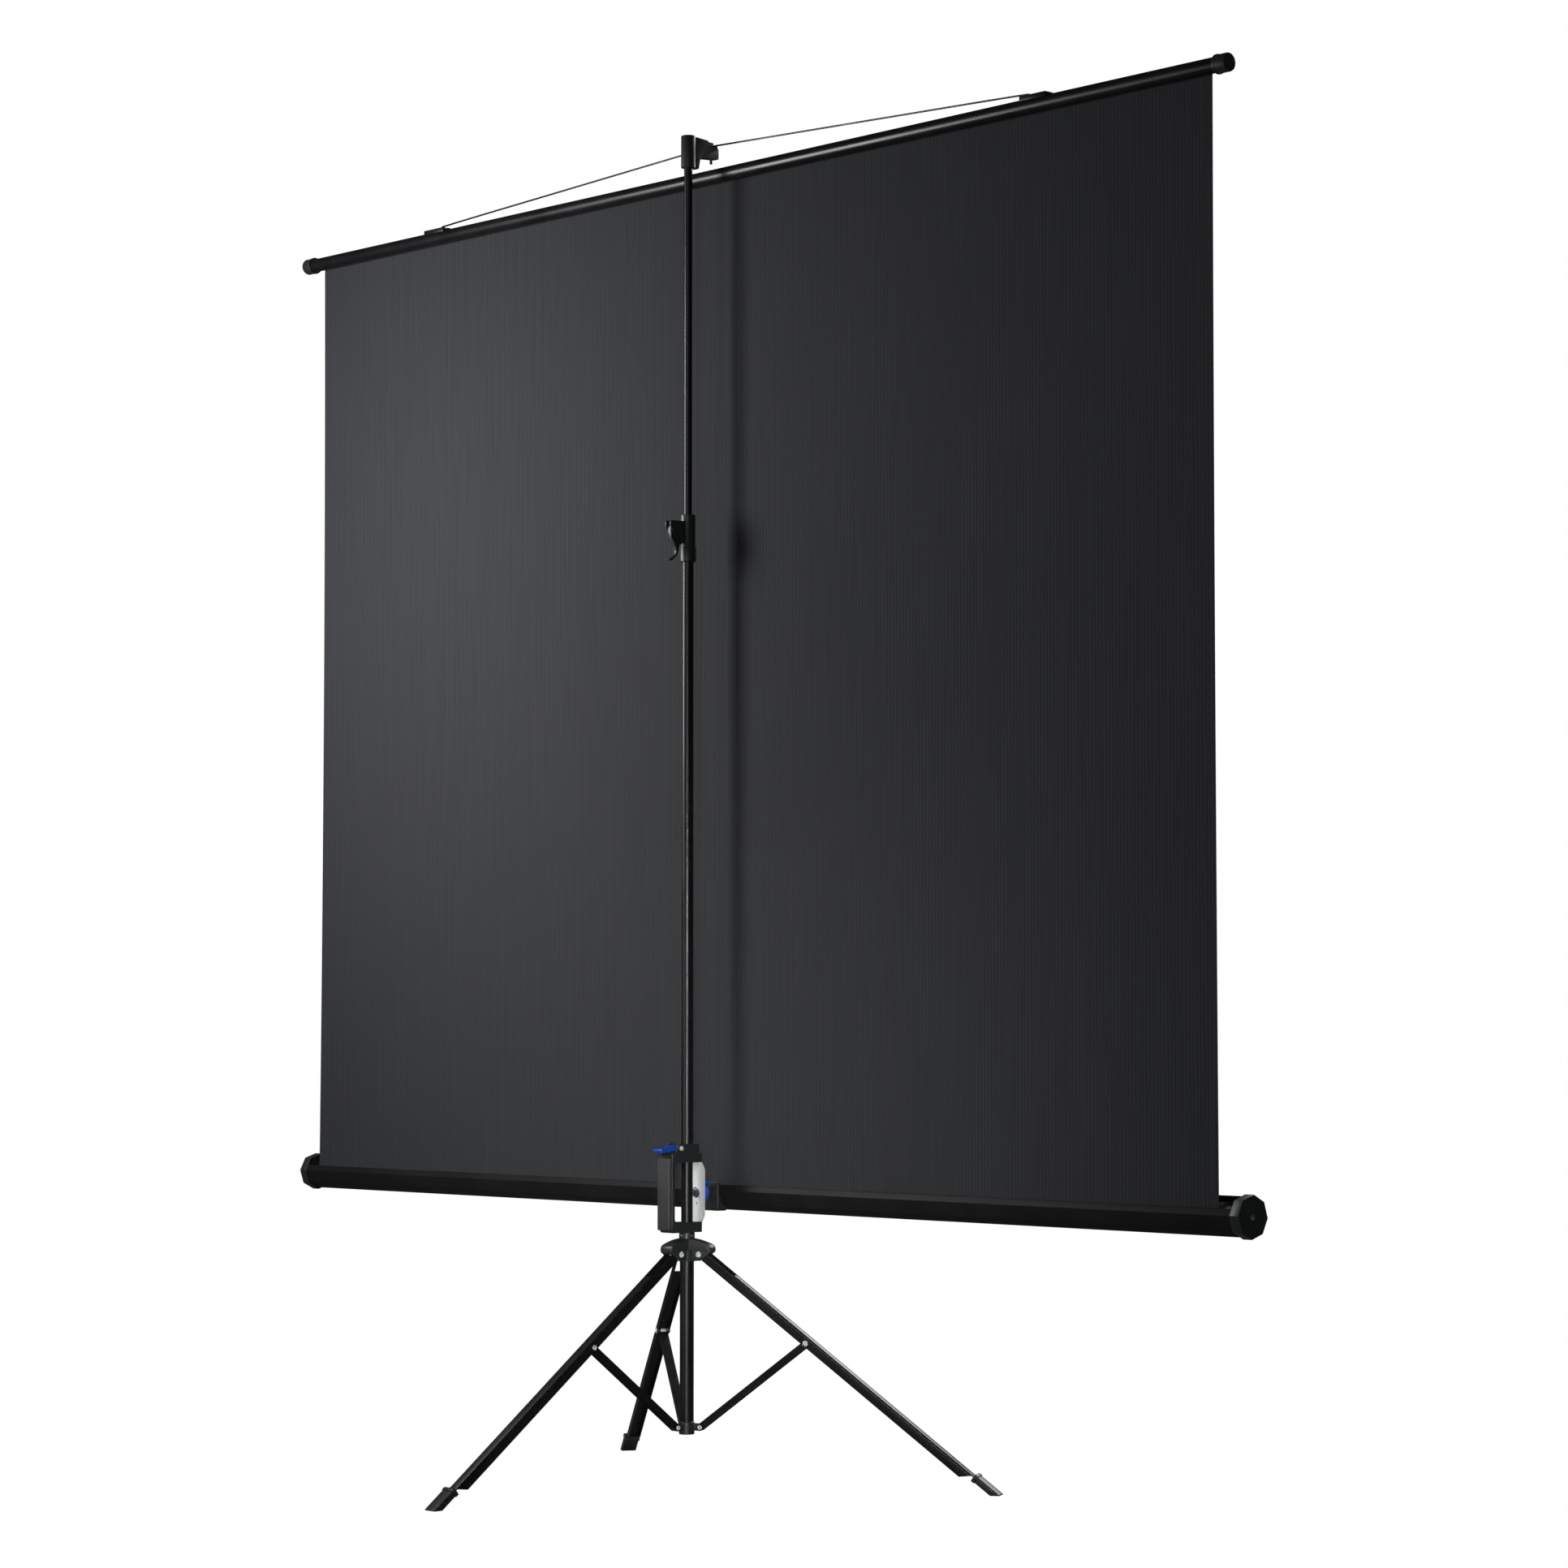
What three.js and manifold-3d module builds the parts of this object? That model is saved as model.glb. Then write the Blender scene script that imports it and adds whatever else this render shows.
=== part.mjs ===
// Tripod projection screen standing open: tripod, telescoping mast, carrier, roller case, cloth and top bar.
// Millimetres, +Z up, cloth facing -Y, origin in the middle of the footprint on the floor.
import * as THREE from "three";
import { mergeVertices } from "three/addons/utils/BufferGeometryUtils.js";
import Module from "manifold-3d";

const wasm = await Module();
wasm.setup();

// Gaps between pieces.
const FIT = 0.3;
const RUN = 0.4;

// Cloth, case and roller.
const CLOTH_WIDTH = 2000;
const CLOTH_THICK = 1;
const CLOTH_Y = -57.4;
const CASE_Z = 431.6;
const CASE_RADIUS = 27.5;
const CASE_WALL = 1.6;
const CASE_TURN = 4.4;
const CASE_LIP = 11;
const CASE_OVERHANG = 38;
const CASE_LENGTH = CLOTH_WIDTH + 2 * CASE_OVERHANG;
const CASE_CAP_RADIUS = CASE_RADIUS + 2.5;
const CASE_CAP_DEPTH = 16;
const CASE_CAP_PLATE = 3.6;
const ROLLER_RADIUS = 15;
const ROLL_RADIUS = 19.2;
const CASE_Y = CLOTH_Y - CLOTH_THICK / 2 - FIT - ROLL_RADIUS;
const SHAFT_RADIUS = 4;
const SPRING_RADIUS = 10;
const SPRING_LENGTH = 260;
const SPRING_END = 40;

// Top bar and bail.
const BAR_RADIUS = 11;
const BAR_WALL = 1.5;
const BAR_Y = -49.3;
const BAR_Z = 1970;
const BAR_LENGTH = CLOTH_WIDTH + 60;
const BAR_CAP_RADIUS = BAR_RADIUS + 2;
const BAR_CAP_DEPTH = 22;
const BAIL_RADIUS = 1.4;
const BAIL_HALF = 668;
const BAIL_RISE = 36.3;
const CLIP_LENGTH = 50;

// Mast.
const UPPER_RADIUS = 6.35;
const MAST_RADIUS = 8.7;
const BASE_RADIUS = 10.5;
const TUBE_WALL = 1.2;
const LATCH_Z = 1378;
const LATCH_HEIGHT = 71;
const LATCH_GAP = 7.8;
const LATCH_CHEEK = 2.4;
const LATCH_SEAT = 1.5;
const LATCH_PIN = 2;
const LATCH_PIVOT = 20;
const UPPER_BOTTOM = 870;
const HEAD_LIFT = 7;
const HEAD_HEIGHT = 49;
const HEAD_Z = BAR_Z + HEAD_LIFT;
const HEAD_RADIUS = 11;
const HOOK_HALF = 6;

// Tripod.
const LEG_ANGLE = THREE.MathUtils.degToRad(52.2);
const LEG_ARM = 209;
const PIVOT_RADIUS = 22.6;
const HUB_Z = 341;
const COLLAR_Z = HUB_Z - 2 * LEG_ARM * Math.cos(LEG_ANGLE);
const LEG_WIDTH = 19;
const LEG_WALL = 1.5;
const LEG_OUT = 9.5;
const LEG_IN = 5;
const STRUT_WIDTH = 12.6;
const STRUT_DEPTH = 10.4;
const STRUT_WALL = 1.3;
const LUG_RADIUS = 5.2;
const CHEEK_WIDTH = 26;
const DOME_RADIUS = 43;
const PIN_RADIUS = 2.6;
const ROD_RADIUS = 7.5;
const ROD_GUIDE = 8;
const SHOE_LENGTH = 42;
const SHOE_IN = 3.5;
const SHOE_OUT = 13.5;
const WEB_SHORT = 16;

// Carrier.
const CARRIER_Z = 373.3;
const CARRIER_HALF = 13.8;
const CARRIER_FRONT = -18.2;
const GRIP_Y = 48.2;
const GRIP_IN = 35.5;
const WINDOW_LOW = 388.4;
const WINDOW_HIGH = 477.3;
const CARRIER_TOP = 505;
const BORE_RADIUS = MAST_RADIUS + 2.6;
const LEVER_Y = 23.3;
const LEVER_Z = 498.6;
const BRACKET_HALF = 10.8;
const BRACKET_WALL = 2;
const BRACKET_DEPTH = 8;
const RING_RADIUS = 15.7;
const RING_DEPTH = 5.2;
const SADDLE_HALF = 17;
const SADDLE_SKIN = 3.4;
const SADDLE_Y = CASE_Y + CASE_RADIUS + SADDLE_SKIN;

// Finishes.
const finish = (color, roughness, metalness) =>
  new THREE.MeshStandardMaterial({ color, roughness, metalness });
const BLACK_PAINT = finish(0x17181a, 0.35, 0.3);
const BLACK_PLASTIC = finish(0x1b1c1e, 0.55, 0);
const GREY_RUBBER = finish(0x3c3d40, 0.75, 0);
const BLUE_PLASTIC = finish(0x1746b8, 0.4, 0);
const ZINC = finish(0xd9dcdf, 0.3, 0.9);
const STEEL = finish(0xb9bcc0, 0.3, 0.9);
const CLOTH = finish(0x26272a, 0.9, 0);
const ROLLED = finish(0xe9e9e6, 0.9, 0);

// A geometry as a closed solid that faces out.
function solid(shape) {
  if (shape instanceof wasm.Manifold) return shape;
  const plain = shape.index ? shape.toNonIndexed() : shape;
  const points = new THREE.BufferGeometry().setAttribute("position", plain.getAttribute("position"));
  const merged = mergeVertices(points, 1e-4);
  const corners = new Uint32Array(merged.index.array);
  const vertProperties = merged.attributes.position.array;
  const made = new wasm.Manifold(new wasm.Mesh({ numProp: 3, vertProperties, triVerts: corners }));
  if (made.volume() >= 0) return made;
  const turned = corners.map((_, i) => corners[i - (i % 3) + [0, 2, 1][i % 3]]);
  return new wasm.Manifold(new wasm.Mesh({ numProp: 3, vertProperties, triVerts: turned }));
}

const join = (first, ...rest) => rest.reduce((sum, next) => sum.add(solid(next)), solid(first));
const cut = (first, ...rest) => rest.reduce((sum, next) => sum.subtract(solid(next)), solid(first));

function block(x0, x1, y0, y1, z0, z1) {
  const box = new THREE.BoxGeometry(x1 - x0, y1 - y0, z1 - z0);
  return box.translate((x0 + x1) / 2, (y0 + y1) / 2, (z0 + z1) / 2);
}

// Round bars along each axis, from one end to the other, at the two other coordinates.
function rodX(radius, x0, x1, y, z, sides = 20) {
  const bar = new THREE.CylinderGeometry(radius, radius, x1 - x0, sides).rotateZ(-Math.PI / 2);
  return bar.translate((x0 + x1) / 2, y, z);
}

function rodY(radius, y0, y1, x, z, sides = 20) {
  return new THREE.CylinderGeometry(radius, radius, y1 - y0, sides).translate(x, (y0 + y1) / 2, z);
}

function rodZ(radius, z0, z1, x = 0, y = 0, sides = 24) {
  const bar = new THREE.CylinderGeometry(radius, radius, z1 - z0, sides).rotateX(Math.PI / 2);
  return bar.translate(x, y, (z0 + z1) / 2);
}

const tubeZ = (outer, inner, z0, z1) => cut(rodZ(outer, z0, z1), rodZ(inner, z0 - 1, z1 + 1));

// A closed (radius, height) outline turned round the mast axis.
function turned(outline, sides = 24) {
  const points = [...outline, outline[0]].map(([r, z]) => new THREE.Vector2(r, z));
  return new THREE.LatheGeometry(points, sides).rotateX(Math.PI / 2);
}

// A closed (y, z) outline drawn out along X.
function slab(outline, x0, x1) {
  const shape = outline instanceof THREE.Shape
    ? outline
    : new THREE.Shape(outline.map(([y, z]) => new THREE.Vector2(y, z)));
  const drawn = new THREE.ExtrudeGeometry(shape, { depth: x1 - x0, bevelEnabled: false, curveSegments: 6 });
  const axes = new THREE.Matrix4().makeBasis(
    new THREE.Vector3(0, 1, 0),
    new THREE.Vector3(0, 0, 1),
    new THREE.Vector3(1, 0, 0),
  );
  return drawn.applyMatrix4(axes).translate(x0, 0, 0);
}

// A rivet along X with two dimpled heads outside the faces at +-half.
function rivet(half, radius, head, tall, y, z) {
  const out = half + FIT;
  return cut(
    join(
      rodX(radius, -out - 0.1, out + 0.1, y, z, 10),
      rodX(head, out, out + tall, y, z, 12),
      rodX(head, -out - tall, -out, y, z, 12),
    ),
    rodX(radius * 0.7, out + tall - 1, out + tall + 1, y, z, 8),
    rodX(radius * 0.7, -out - tall - 1, -out - tall + 1, y, z, 8),
  );
}

const whole = new THREE.Group();
const mast = new THREE.Group();
whole.add(mast);

function place(name, shape, material, into = mast) {
  const mesh = solid(shape).getMesh();
  const geometry = new THREE.BufferGeometry();
  geometry.setAttribute("position", new THREE.BufferAttribute(new Float32Array(mesh.vertProperties), 3));
  geometry.setIndex(new THREE.BufferAttribute(new Uint32Array(mesh.triVerts), 1));
  geometry.computeVertexNormals();
  const made = new THREE.Mesh(geometry, material);
  made.name = name;
  into.add(made);
}

// The three directions of the tripod, turned round the mast from the rear leg.
const SPOKES = [
  { side: "rear", turn: 0 },
  { side: "left", turn: (2 * Math.PI) / 3 },
  { side: "right", turn: (-2 * Math.PI) / 3 },
];

// Hub: a dome over three forked arms.
function buildHub() {
  const bore = BASE_RADIUS + FIT;
  const half = CHEEK_WIDTH / 2;
  const slot = LEG_WIDTH / 2 + RUN;
  const wall = PIVOT_RADIUS - LEG_OUT - 0.5;
  let hub = solid(turned([
    [bore, HUB_Z - 11],
    [wall, HUB_Z - 11],
    [wall, HUB_Z + 5.2],
    [DOME_RADIUS - 6.5, HUB_Z + 5.2],
    [DOME_RADIUS - 5, HUB_Z + 2],
    [DOME_RADIUS - 1.2, HUB_Z + 2],
    [DOME_RADIUS, HUB_Z + 4.5],
    [DOME_RADIUS, HUB_Z + 9],
    [DOME_RADIUS - 2.4, HUB_Z + 13],
    [DOME_RADIUS * 0.76, HUB_Z + 17.2],
    [DOME_RADIUS * 0.47, HUB_Z + 21.4],
    [wall, HUB_Z + 23],
    [bore, HUB_Z + 23],
  ], 32));
  const arm = [
    [bore + 0.5, HUB_Z - 9.5],
    [PIVOT_RADIUS + 2, HUB_Z - 9.5],
    [DOME_RADIUS - 5, HUB_Z + 1],
    [DOME_RADIUS - 5, HUB_Z + 6],
    [bore + 0.5, HUB_Z + 6],
  ];
  const rest = (r) =>
    HUB_Z + (LEG_OUT + 0.7 - (r - PIVOT_RADIUS) * Math.cos(LEG_ANGLE)) / Math.sin(LEG_ANGLE);
  const sweep = PIVOT_RADIUS + LEG_OUT + 1.2;
  const far = DOME_RADIUS + 20;
  const room = [
    [wall, HUB_Z - 30],
    [far, HUB_Z - 30],
    [far, rest(far)],
    [sweep, rest(sweep)],
    [sweep, HUB_Z + LEG_OUT + 0.8],
    [wall, HUB_Z + LEG_OUT + 0.8],
  ];
  const lobes = SPOKES.map(({ turn }) =>
    solid(block(-half, half, 0, far, HUB_Z - 30, HUB_Z + 40).rotateZ(turn)),
  );
  hub = hub.intersect(join(rodZ(wall, HUB_Z - 30, HUB_Z + 40), ...lobes));
  for (const { turn } of SPOKES) {
    hub = hub.add(solid(slab(arm, -half, half).rotateZ(turn)));
  }
  for (const { turn } of SPOKES) {
    const gap = slab(room, -slot, slot);
    const hole = rodX(PIN_RADIUS + FIT, -half - 1, half + 1, PIVOT_RADIUS, HUB_Z, 10);
    hub = cut(hub, gap.rotateZ(turn), hole.rotateZ(turn));
  }
  return cut(hub, rodZ(bore, HUB_Z - 20, HUB_Z + 40));
}

// One leg along -Z of its own frame, web out along +Y, pivot at the origin.
function buildLeg(webEnd) {
  const half = LEG_WIDTH / 2;
  const inner = half - LEG_WALL;
  const flangeEnd = webEnd + WEB_SHORT - SHOE_LENGTH - 5;
  const side = [
    [-LEG_IN, -1],
    [-LEG_IN, 1],
    [-3.5, 4.6],
    [0, 6.5],
    [4.5, 6.5],
    [8, 4],
    [LEG_OUT, -2],
    [LEG_OUT, -flangeEnd],
    [LEG_OUT - LEG_WALL, -flangeEnd],
    [-LEG_IN, -flangeEnd + 14],
  ].reverse();
  const leg = join(
    slab(side, inner, half),
    slab(side, -half, -inner),
    block(-half, half, LEG_OUT - LEG_WALL, LEG_OUT, -webEnd, -62),
  );
  return cut(
    leg,
    rodX(PIN_RADIUS + FIT, -half - 1, half + 1, 0, 0, 10),
    rodX(PIN_RADIUS + FIT, -half - 1, half + 1, 0, -LEG_ARM, 10),
  );
}

// A shoe on the end of the web, its sole level when the leg is spread.
function buildFoot(webEnd) {
  const sole = (q) => -(HUB_Z + q * Math.sin(LEG_ANGLE)) / Math.cos(LEG_ANGLE);
  const top = sole(LEG_OUT) + SHOE_LENGTH;
  const half = LEG_WIDTH / 2 + 1.9;
  const body = [
    [SHOE_IN, top],
    [SHOE_IN, sole(SHOE_IN)],
    [SHOE_OUT - 1, sole(SHOE_OUT - 1)],
    [SHOE_OUT, sole(SHOE_OUT) + 3],
    [SHOE_OUT, top],
  ];
  const ridge = [
    [SHOE_IN - 1.2, top + 1.5],
    [SHOE_IN - 1.2, top - 5],
    [SHOE_OUT + 1.2, top - 5],
    [SHOE_OUT + 1.2, top + 1.5],
  ];
  const wide = LEG_WIDTH / 2 + FIT;
  const pocket = block(-wide, wide, LEG_OUT - LEG_WALL - FIT, LEG_OUT + FIT, -webEnd - FIT, top + 9);
  return cut(join(slab(body, -half, half), slab(ridge, -half - 1.2, half + 1.2)), pocket);
}

// One strut along -Z of its own frame, from the knee at the origin to the collar.
function buildStrut() {
  const half = STRUT_WIDTH / 2;
  const deep = STRUT_DEPTH / 2;
  const end = LEG_ARM - LUG_RADIUS - 3;
  const side = [
    [-deep, 1],
    [-3, 4.6],
    [3, 4.6],
    [deep, 1],
    [deep, -LEG_ARM - 1],
    [3, -LEG_ARM - 4.6],
    [-3, -LEG_ARM - 4.6],
    [-deep, -LEG_ARM - 1],
  ].reverse();
  const strut = join(
    slab(side, half - STRUT_WALL, half),
    slab(side, -half, -half + STRUT_WALL),
    block(-half, half, -deep, -deep + STRUT_WALL, -end, -9),
  );
  return cut(
    strut,
    rodX(PIN_RADIUS + FIT, -half - 1, half + 1, 0, 0, 10),
    rodX(PIN_RADIUS + FIT, -half - 1, half + 1, 0, -LEG_ARM, 10),
  );
}

// Spreader collar with three lugs that stand inside the struts.
function buildCollar() {
  const half = STRUT_WIDTH / 2 - STRUT_WALL - RUN;
  const lug = [
    [ROD_RADIUS + 1.5, COLLAR_Z - LUG_RADIUS],
    [PIVOT_RADIUS, COLLAR_Z - LUG_RADIUS],
    [PIVOT_RADIUS + LUG_RADIUS * 0.7, COLLAR_Z - LUG_RADIUS * 0.7],
    [PIVOT_RADIUS + LUG_RADIUS, COLLAR_Z],
    [PIVOT_RADIUS + LUG_RADIUS * 0.7, COLLAR_Z + LUG_RADIUS * 0.7],
    [PIVOT_RADIUS, COLLAR_Z + LUG_RADIUS],
    [ROD_RADIUS + 1.5, COLLAR_Z + LUG_RADIUS],
  ];
  let collar = solid(rodZ(11.6, COLLAR_Z - 11, COLLAR_Z + 8));
  for (const { turn } of SPOKES) {
    collar = collar.add(solid(slab(lug, -half, half).rotateZ(turn)));
  }
  for (const { turn } of SPOKES) {
    collar = cut(collar, rodX(PIN_RADIUS, -9, 9, PIVOT_RADIUS, COLLAR_Z, 10).rotateZ(turn));
  }
  return cut(collar, rodZ(ROD_RADIUS + FIT, COLLAR_Z - 20, COLLAR_Z + 20));
}

function buildTripod() {
  const webEnd = (HUB_Z + LEG_OUT * Math.sin(LEG_ANGLE)) / Math.cos(LEG_ANGLE) - WEB_SHORT;
  place("hub", buildHub(), BLACK_PLASTIC);
  place("base_tube", tubeZ(BASE_RADIUS, BASE_RADIUS - TUBE_WALL, COLLAR_Z + 8.3, HUB_Z + 22), BLACK_PAINT);
  place("spreader_collar", buildCollar(), BLACK_PLASTIC);
  place("guide_rod", rodZ(ROD_RADIUS, COLLAR_Z - 11, COLLAR_Z + LEG_ARM + ROD_GUIDE), STEEL);
  for (const { side, turn } of SPOKES) {
    const spoke = new THREE.Group();
    spoke.rotation.z = turn;
    mast.add(spoke);
    place(`hub_pin_${side}`, rivet(CHEEK_WIDTH / 2, PIN_RADIUS, 4.4, 1.8, PIVOT_RADIUS, HUB_Z), STEEL, spoke);
    place(
      `collar_pin_${side}`,
      rivet(STRUT_WIDTH / 2, PIN_RADIUS - 0.3, 3.6, 1.3, PIVOT_RADIUS, COLLAR_Z),
      STEEL,
      spoke,
    );
    const leg = new THREE.Group();
    leg.position.set(0, PIVOT_RADIUS, HUB_Z);
    leg.rotation.x = LEG_ANGLE;
    spoke.add(leg);
    place(`leg_${side}`, buildLeg(webEnd), BLACK_PAINT, leg);
    place(`foot_${side}`, buildFoot(webEnd), BLACK_PLASTIC, leg);
    place(`knee_pin_${side}`, rivet(LEG_WIDTH / 2, PIN_RADIUS, 4.2, 1.4, 0, -LEG_ARM), STEEL, leg);
    const strut = new THREE.Group();
    strut.position.set(
      0,
      PIVOT_RADIUS + LEG_ARM * Math.sin(LEG_ANGLE),
      HUB_Z - LEG_ARM * Math.cos(LEG_ANGLE),
    );
    strut.rotation.x = -LEG_ANGLE;
    spoke.add(strut);
    place(`strut_${side}`, buildStrut(), BLACK_PAINT, strut);
  }
}

// Latch collar over the joint of the two mast tubes, with cheeks for the cam lever.
function buildLatchCollar() {
  const seat = LATCH_Z + 27;
  const top = LATCH_Z + LATCH_HEIGHT;
  const sleeve = turned([
    [MAST_RADIUS + FIT, LATCH_Z],
    [12.5, LATCH_Z],
    [12.5, LATCH_Z + 22],
    [11.5, LATCH_Z + 23],
    [11.5, top - 1],
    [10.5, top],
    [UPPER_RADIUS + FIT, top],
    [UPPER_RADIUS + FIT, seat],
    [MAST_RADIUS + FIT, seat],
  ]);
  const cheek = [
    [8, LATCH_Z + 25.6],
    [18.6, LATCH_Z + 28.8],
    [28.9, LATCH_Z + 35.5],
    [36.4, LATCH_Z + 45.5],
    [40.2, LATCH_Z + 53.3],
    [38.4, LATCH_Z + 60],
    [8, LATCH_Z + 60.6],
  ];
  const inner = LATCH_GAP / 2;
  const hole = rodX(LATCH_PIN + FIT, -inner - LATCH_SEAT, inner + LATCH_SEAT, LATCH_PIVOT, LATCH_Z + 50, 16);
  const joined = join(
    sleeve,
    slab(cheek, inner, inner + LATCH_CHEEK),
    slab(cheek, -inner - LATCH_CHEEK, -inner),
  );
  const upper = rodZ(UPPER_RADIUS + FIT, LATCH_Z - 1, top + 1);
  return cut(joined, hole, upper, rodZ(MAST_RADIUS + FIT, LATCH_Z - 1, seat));
}

function buildLatchLever() {
  const low = LATCH_Z;
  const half = LATCH_GAP / 2 - RUN;
  const arm = [
    [16, low + 50],
    [16.5, low + 38],
    [21.5, low + 14],
    [24, low + 8],
    [32, low + 1],
    [40, low - 1.5],
    [41, low + 0.5],
    [33, low + 4],
    [27, low + 9],
    [25.5, low + 14],
    [29, low + 24],
    [35.5, low + 34],
    [37.5, low + 46],
    [35, low + 56],
    [20, low + 56],
    [16, low + 53],
  ];
  return cut(slab(arm, -half, half), rodX(LATCH_PIN + FIT, -12, 12, LATCH_PIVOT, low + 50, 16));
}

// Mast head with the hook for the bail.
function buildHead() {
  const groove = BAIL_RADIUS + 0.7;
  const wire = BAR_Z + BAR_RADIUS + BAIL_RISE;
  const top = HEAD_Z + HEAD_HEIGHT;
  const sleeve = turned([
    [0.01, HEAD_Z],
    [HEAD_RADIUS, HEAD_Z],
    [HEAD_RADIUS, top - 1],
    [HEAD_RADIUS - 1, top],
    [0.01, top],
  ]);
  const hook = [
    [-2, HEAD_Z],
    [-16.5, HEAD_Z],
    [-19.5, HEAD_Z + 14],
    [-22, HEAD_Z + 17.5],
    [BAR_Y - 7.5, HEAD_Z + 20],
    [BAR_Y - 7.7, HEAD_Z + 34],
    [BAR_Y - 4, wire + 0.4],
    [BAR_Y - groove, wire + 0.6],
    [BAR_Y - groove, wire - BAIL_RADIUS - 0.4],
    [BAR_Y + groove, wire - BAIL_RADIUS - 0.4],
    [BAR_Y + groove + 1.5, wire + 3.8],
    [-37, wire + 4],
    [-35, wire + 6],
    [-2, top - 0.5],
  ];
  return cut(
    join(sleeve, slab(hook, -HOOK_HALF, HOOK_HALF), rodZ(2.2, HEAD_Z + 12, HEAD_Z + 27, 0, BAR_Y + 3.3, 16)),
    rodZ(UPPER_RADIUS + FIT, HEAD_Z - 1, HEAD_Z + 41.3),
  );
}

function buildMast() {
  const seat = LATCH_Z + 27;
  place(
    "mast_socket",
    cut(
      tubeZ(11.75, MAST_RADIUS + FIT, HUB_Z + 23.3, CARRIER_Z - FIT),
      rodY(1.9, 0, 20, 0, HUB_Z + 27.6, 12),
      rodX(1.9, -20, 0, 0, HUB_Z + 27.6, 12),
    ),
    BLACK_PLASTIC,
  );
  const screwZ = HUB_Z + 27.6;
  place(
    "socket_screw_rear",
    join(rodY(1.6, 9.2, 12.2, 0, screwZ, 12), rodY(2.6, 12.1, 13.2, 0, screwZ, 12)),
    STEEL,
  );
  place(
    "socket_screw_side",
    join(rodX(1.6, -12.2, -9.2, 0, screwZ, 12), rodX(2.6, -13.2, -12.1, 0, screwZ, 12)),
    STEEL,
  );
  place("lower_mast", tubeZ(MAST_RADIUS, MAST_RADIUS - TUBE_WALL, HUB_Z - 23, seat - FIT), BLACK_PAINT);
  place("latch_collar", buildLatchCollar(), BLACK_PLASTIC);
  const pin = LATCH_GAP / 2 + LATCH_SEAT - FIT;
  place("latch_pin", rodX(LATCH_PIN, -pin, pin, LATCH_PIVOT, LATCH_Z + 50, 16), STEEL);
  place("latch_lever", buildLatchLever(), BLACK_PLASTIC);
  place("upper_mast", tubeZ(UPPER_RADIUS, UPPER_RADIUS - TUBE_WALL, UPPER_BOTTOM, HEAD_Z + 41), BLACK_PAINT);
  place(
    "mast_bush",
    join(
      rodZ(MAST_RADIUS - TUBE_WALL - FIT, UPPER_BOTTOM - 12, UPPER_BOTTOM - FIT),
      rodZ(UPPER_RADIUS - TUBE_WALL - FIT, UPPER_BOTTOM - 1, UPPER_BOTTOM + 14),
    ),
    BLACK_PLASTIC,
  );
  place("mast_head", buildHead(), BLACK_PLASTIC);
}

// Top bar, its end caps, and the bail over the hook.
function buildTopBar() {
  const bailRoom = BAIL_RADIUS + 0.4;
  const half = BAR_LENGTH / 2;
  const slotY = CLOTH_Y;
  const bar = cut(
    rodX(BAR_RADIUS, -half, half, BAR_Y, BAR_Z, 24),
    rodX(BAR_RADIUS - BAR_WALL, -half - 1, half + 1, BAR_Y, BAR_Z, 24),
    block(-half - 1, half + 1, slotY - 1.2, slotY + 1.2, BAR_Z - BAR_RADIUS - 1, BAR_Z - 4),
  );
  place("top_bar", bar, BLACK_PAINT);
  for (const [side, sign] of [["left", -1], ["right", 1]]) {
    const out = half + 8;
    const inside = out - BAR_CAP_DEPTH;
    const span = (a, b) => [Math.min(sign * a, sign * b), Math.max(sign * a, sign * b)];
    const cap = cut(
      join(
        rodX(BAR_CAP_RADIUS, ...span(inside, out - 1), BAR_Y, BAR_Z, 24),
        rodX(BAR_CAP_RADIUS + 0.8, ...span(inside, inside + 4), BAR_Y, BAR_Z, 24),
        rodX(BAR_CAP_RADIUS - 1, ...span(out - 1.1, out), BAR_Y, BAR_Z, 24),
      ),
      rodX(BAR_RADIUS + FIT, ...span(inside - 1, half + FIT), BAR_Y, BAR_Z, 24),
    );
    place(`bar_cap_${side}`, cap, BLACK_PLASTIC);
    const clipIn = BAIL_HALF - 13;
    const top = BAR_Z + BAR_RADIUS + 3.8;
    const clip = cut(
      block(...span(clipIn, clipIn + CLIP_LENGTH), BAR_Y - 8, BAR_Y + 8, BAR_Z + 3, top),
      rodX(BAR_RADIUS + FIT, ...span(clipIn - 1, clipIn + CLIP_LENGTH + 1), BAR_Y, BAR_Z, 24),
      rodZ(BAIL_RADIUS + 0.4, BAR_Z, top + 5, sign * BAIL_HALF, BAR_Y, 12),
      block(...span(clipIn - 1, BAIL_HALF), BAR_Y - bailRoom, BAR_Y + bailRoom, BAR_Z, top + 5),
    );
    place(`bail_clip_${side}`, clip, BLACK_PAINT);
  }
  const low = BAR_Z + BAR_RADIUS;
  const ends = [[BAIL_HALF, 1.2], [BAIL_HALF, 4.2], [BAIL_HALF - 3, 6.2], [BAIL_HALF - 8, 6.7]];
  const slope = [0.8, 0.6, 0.4, 0.2, 0.05].map((f) => [BAIL_HALF * f, 6.7 + (BAIL_RISE - 6.7) * (1 - f)]);
  const left = [...ends, ...slope];
  const points = [
    ...left.map(([x, z]) => new THREE.Vector3(-x, BAR_Y, low + z)),
    new THREE.Vector3(0, BAR_Y, low + BAIL_RISE),
    ...left.reverse().map(([x, z]) => new THREE.Vector3(x, BAR_Y, low + z)),
  ];
  const wire = new THREE.Shape().absarc(0, 0, BAIL_RADIUS, 0, 2 * Math.PI);
  const bail = new THREE.ExtrudeGeometry(wire, {
    steps: 56,
    curveSegments: 4,
    bevelEnabled: false,
    extrudePath: new THREE.CatmullRomCurve3(points, false, "centripetal"),
  });
  place("bail", bail, BLACK_PAINT);
}

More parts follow.
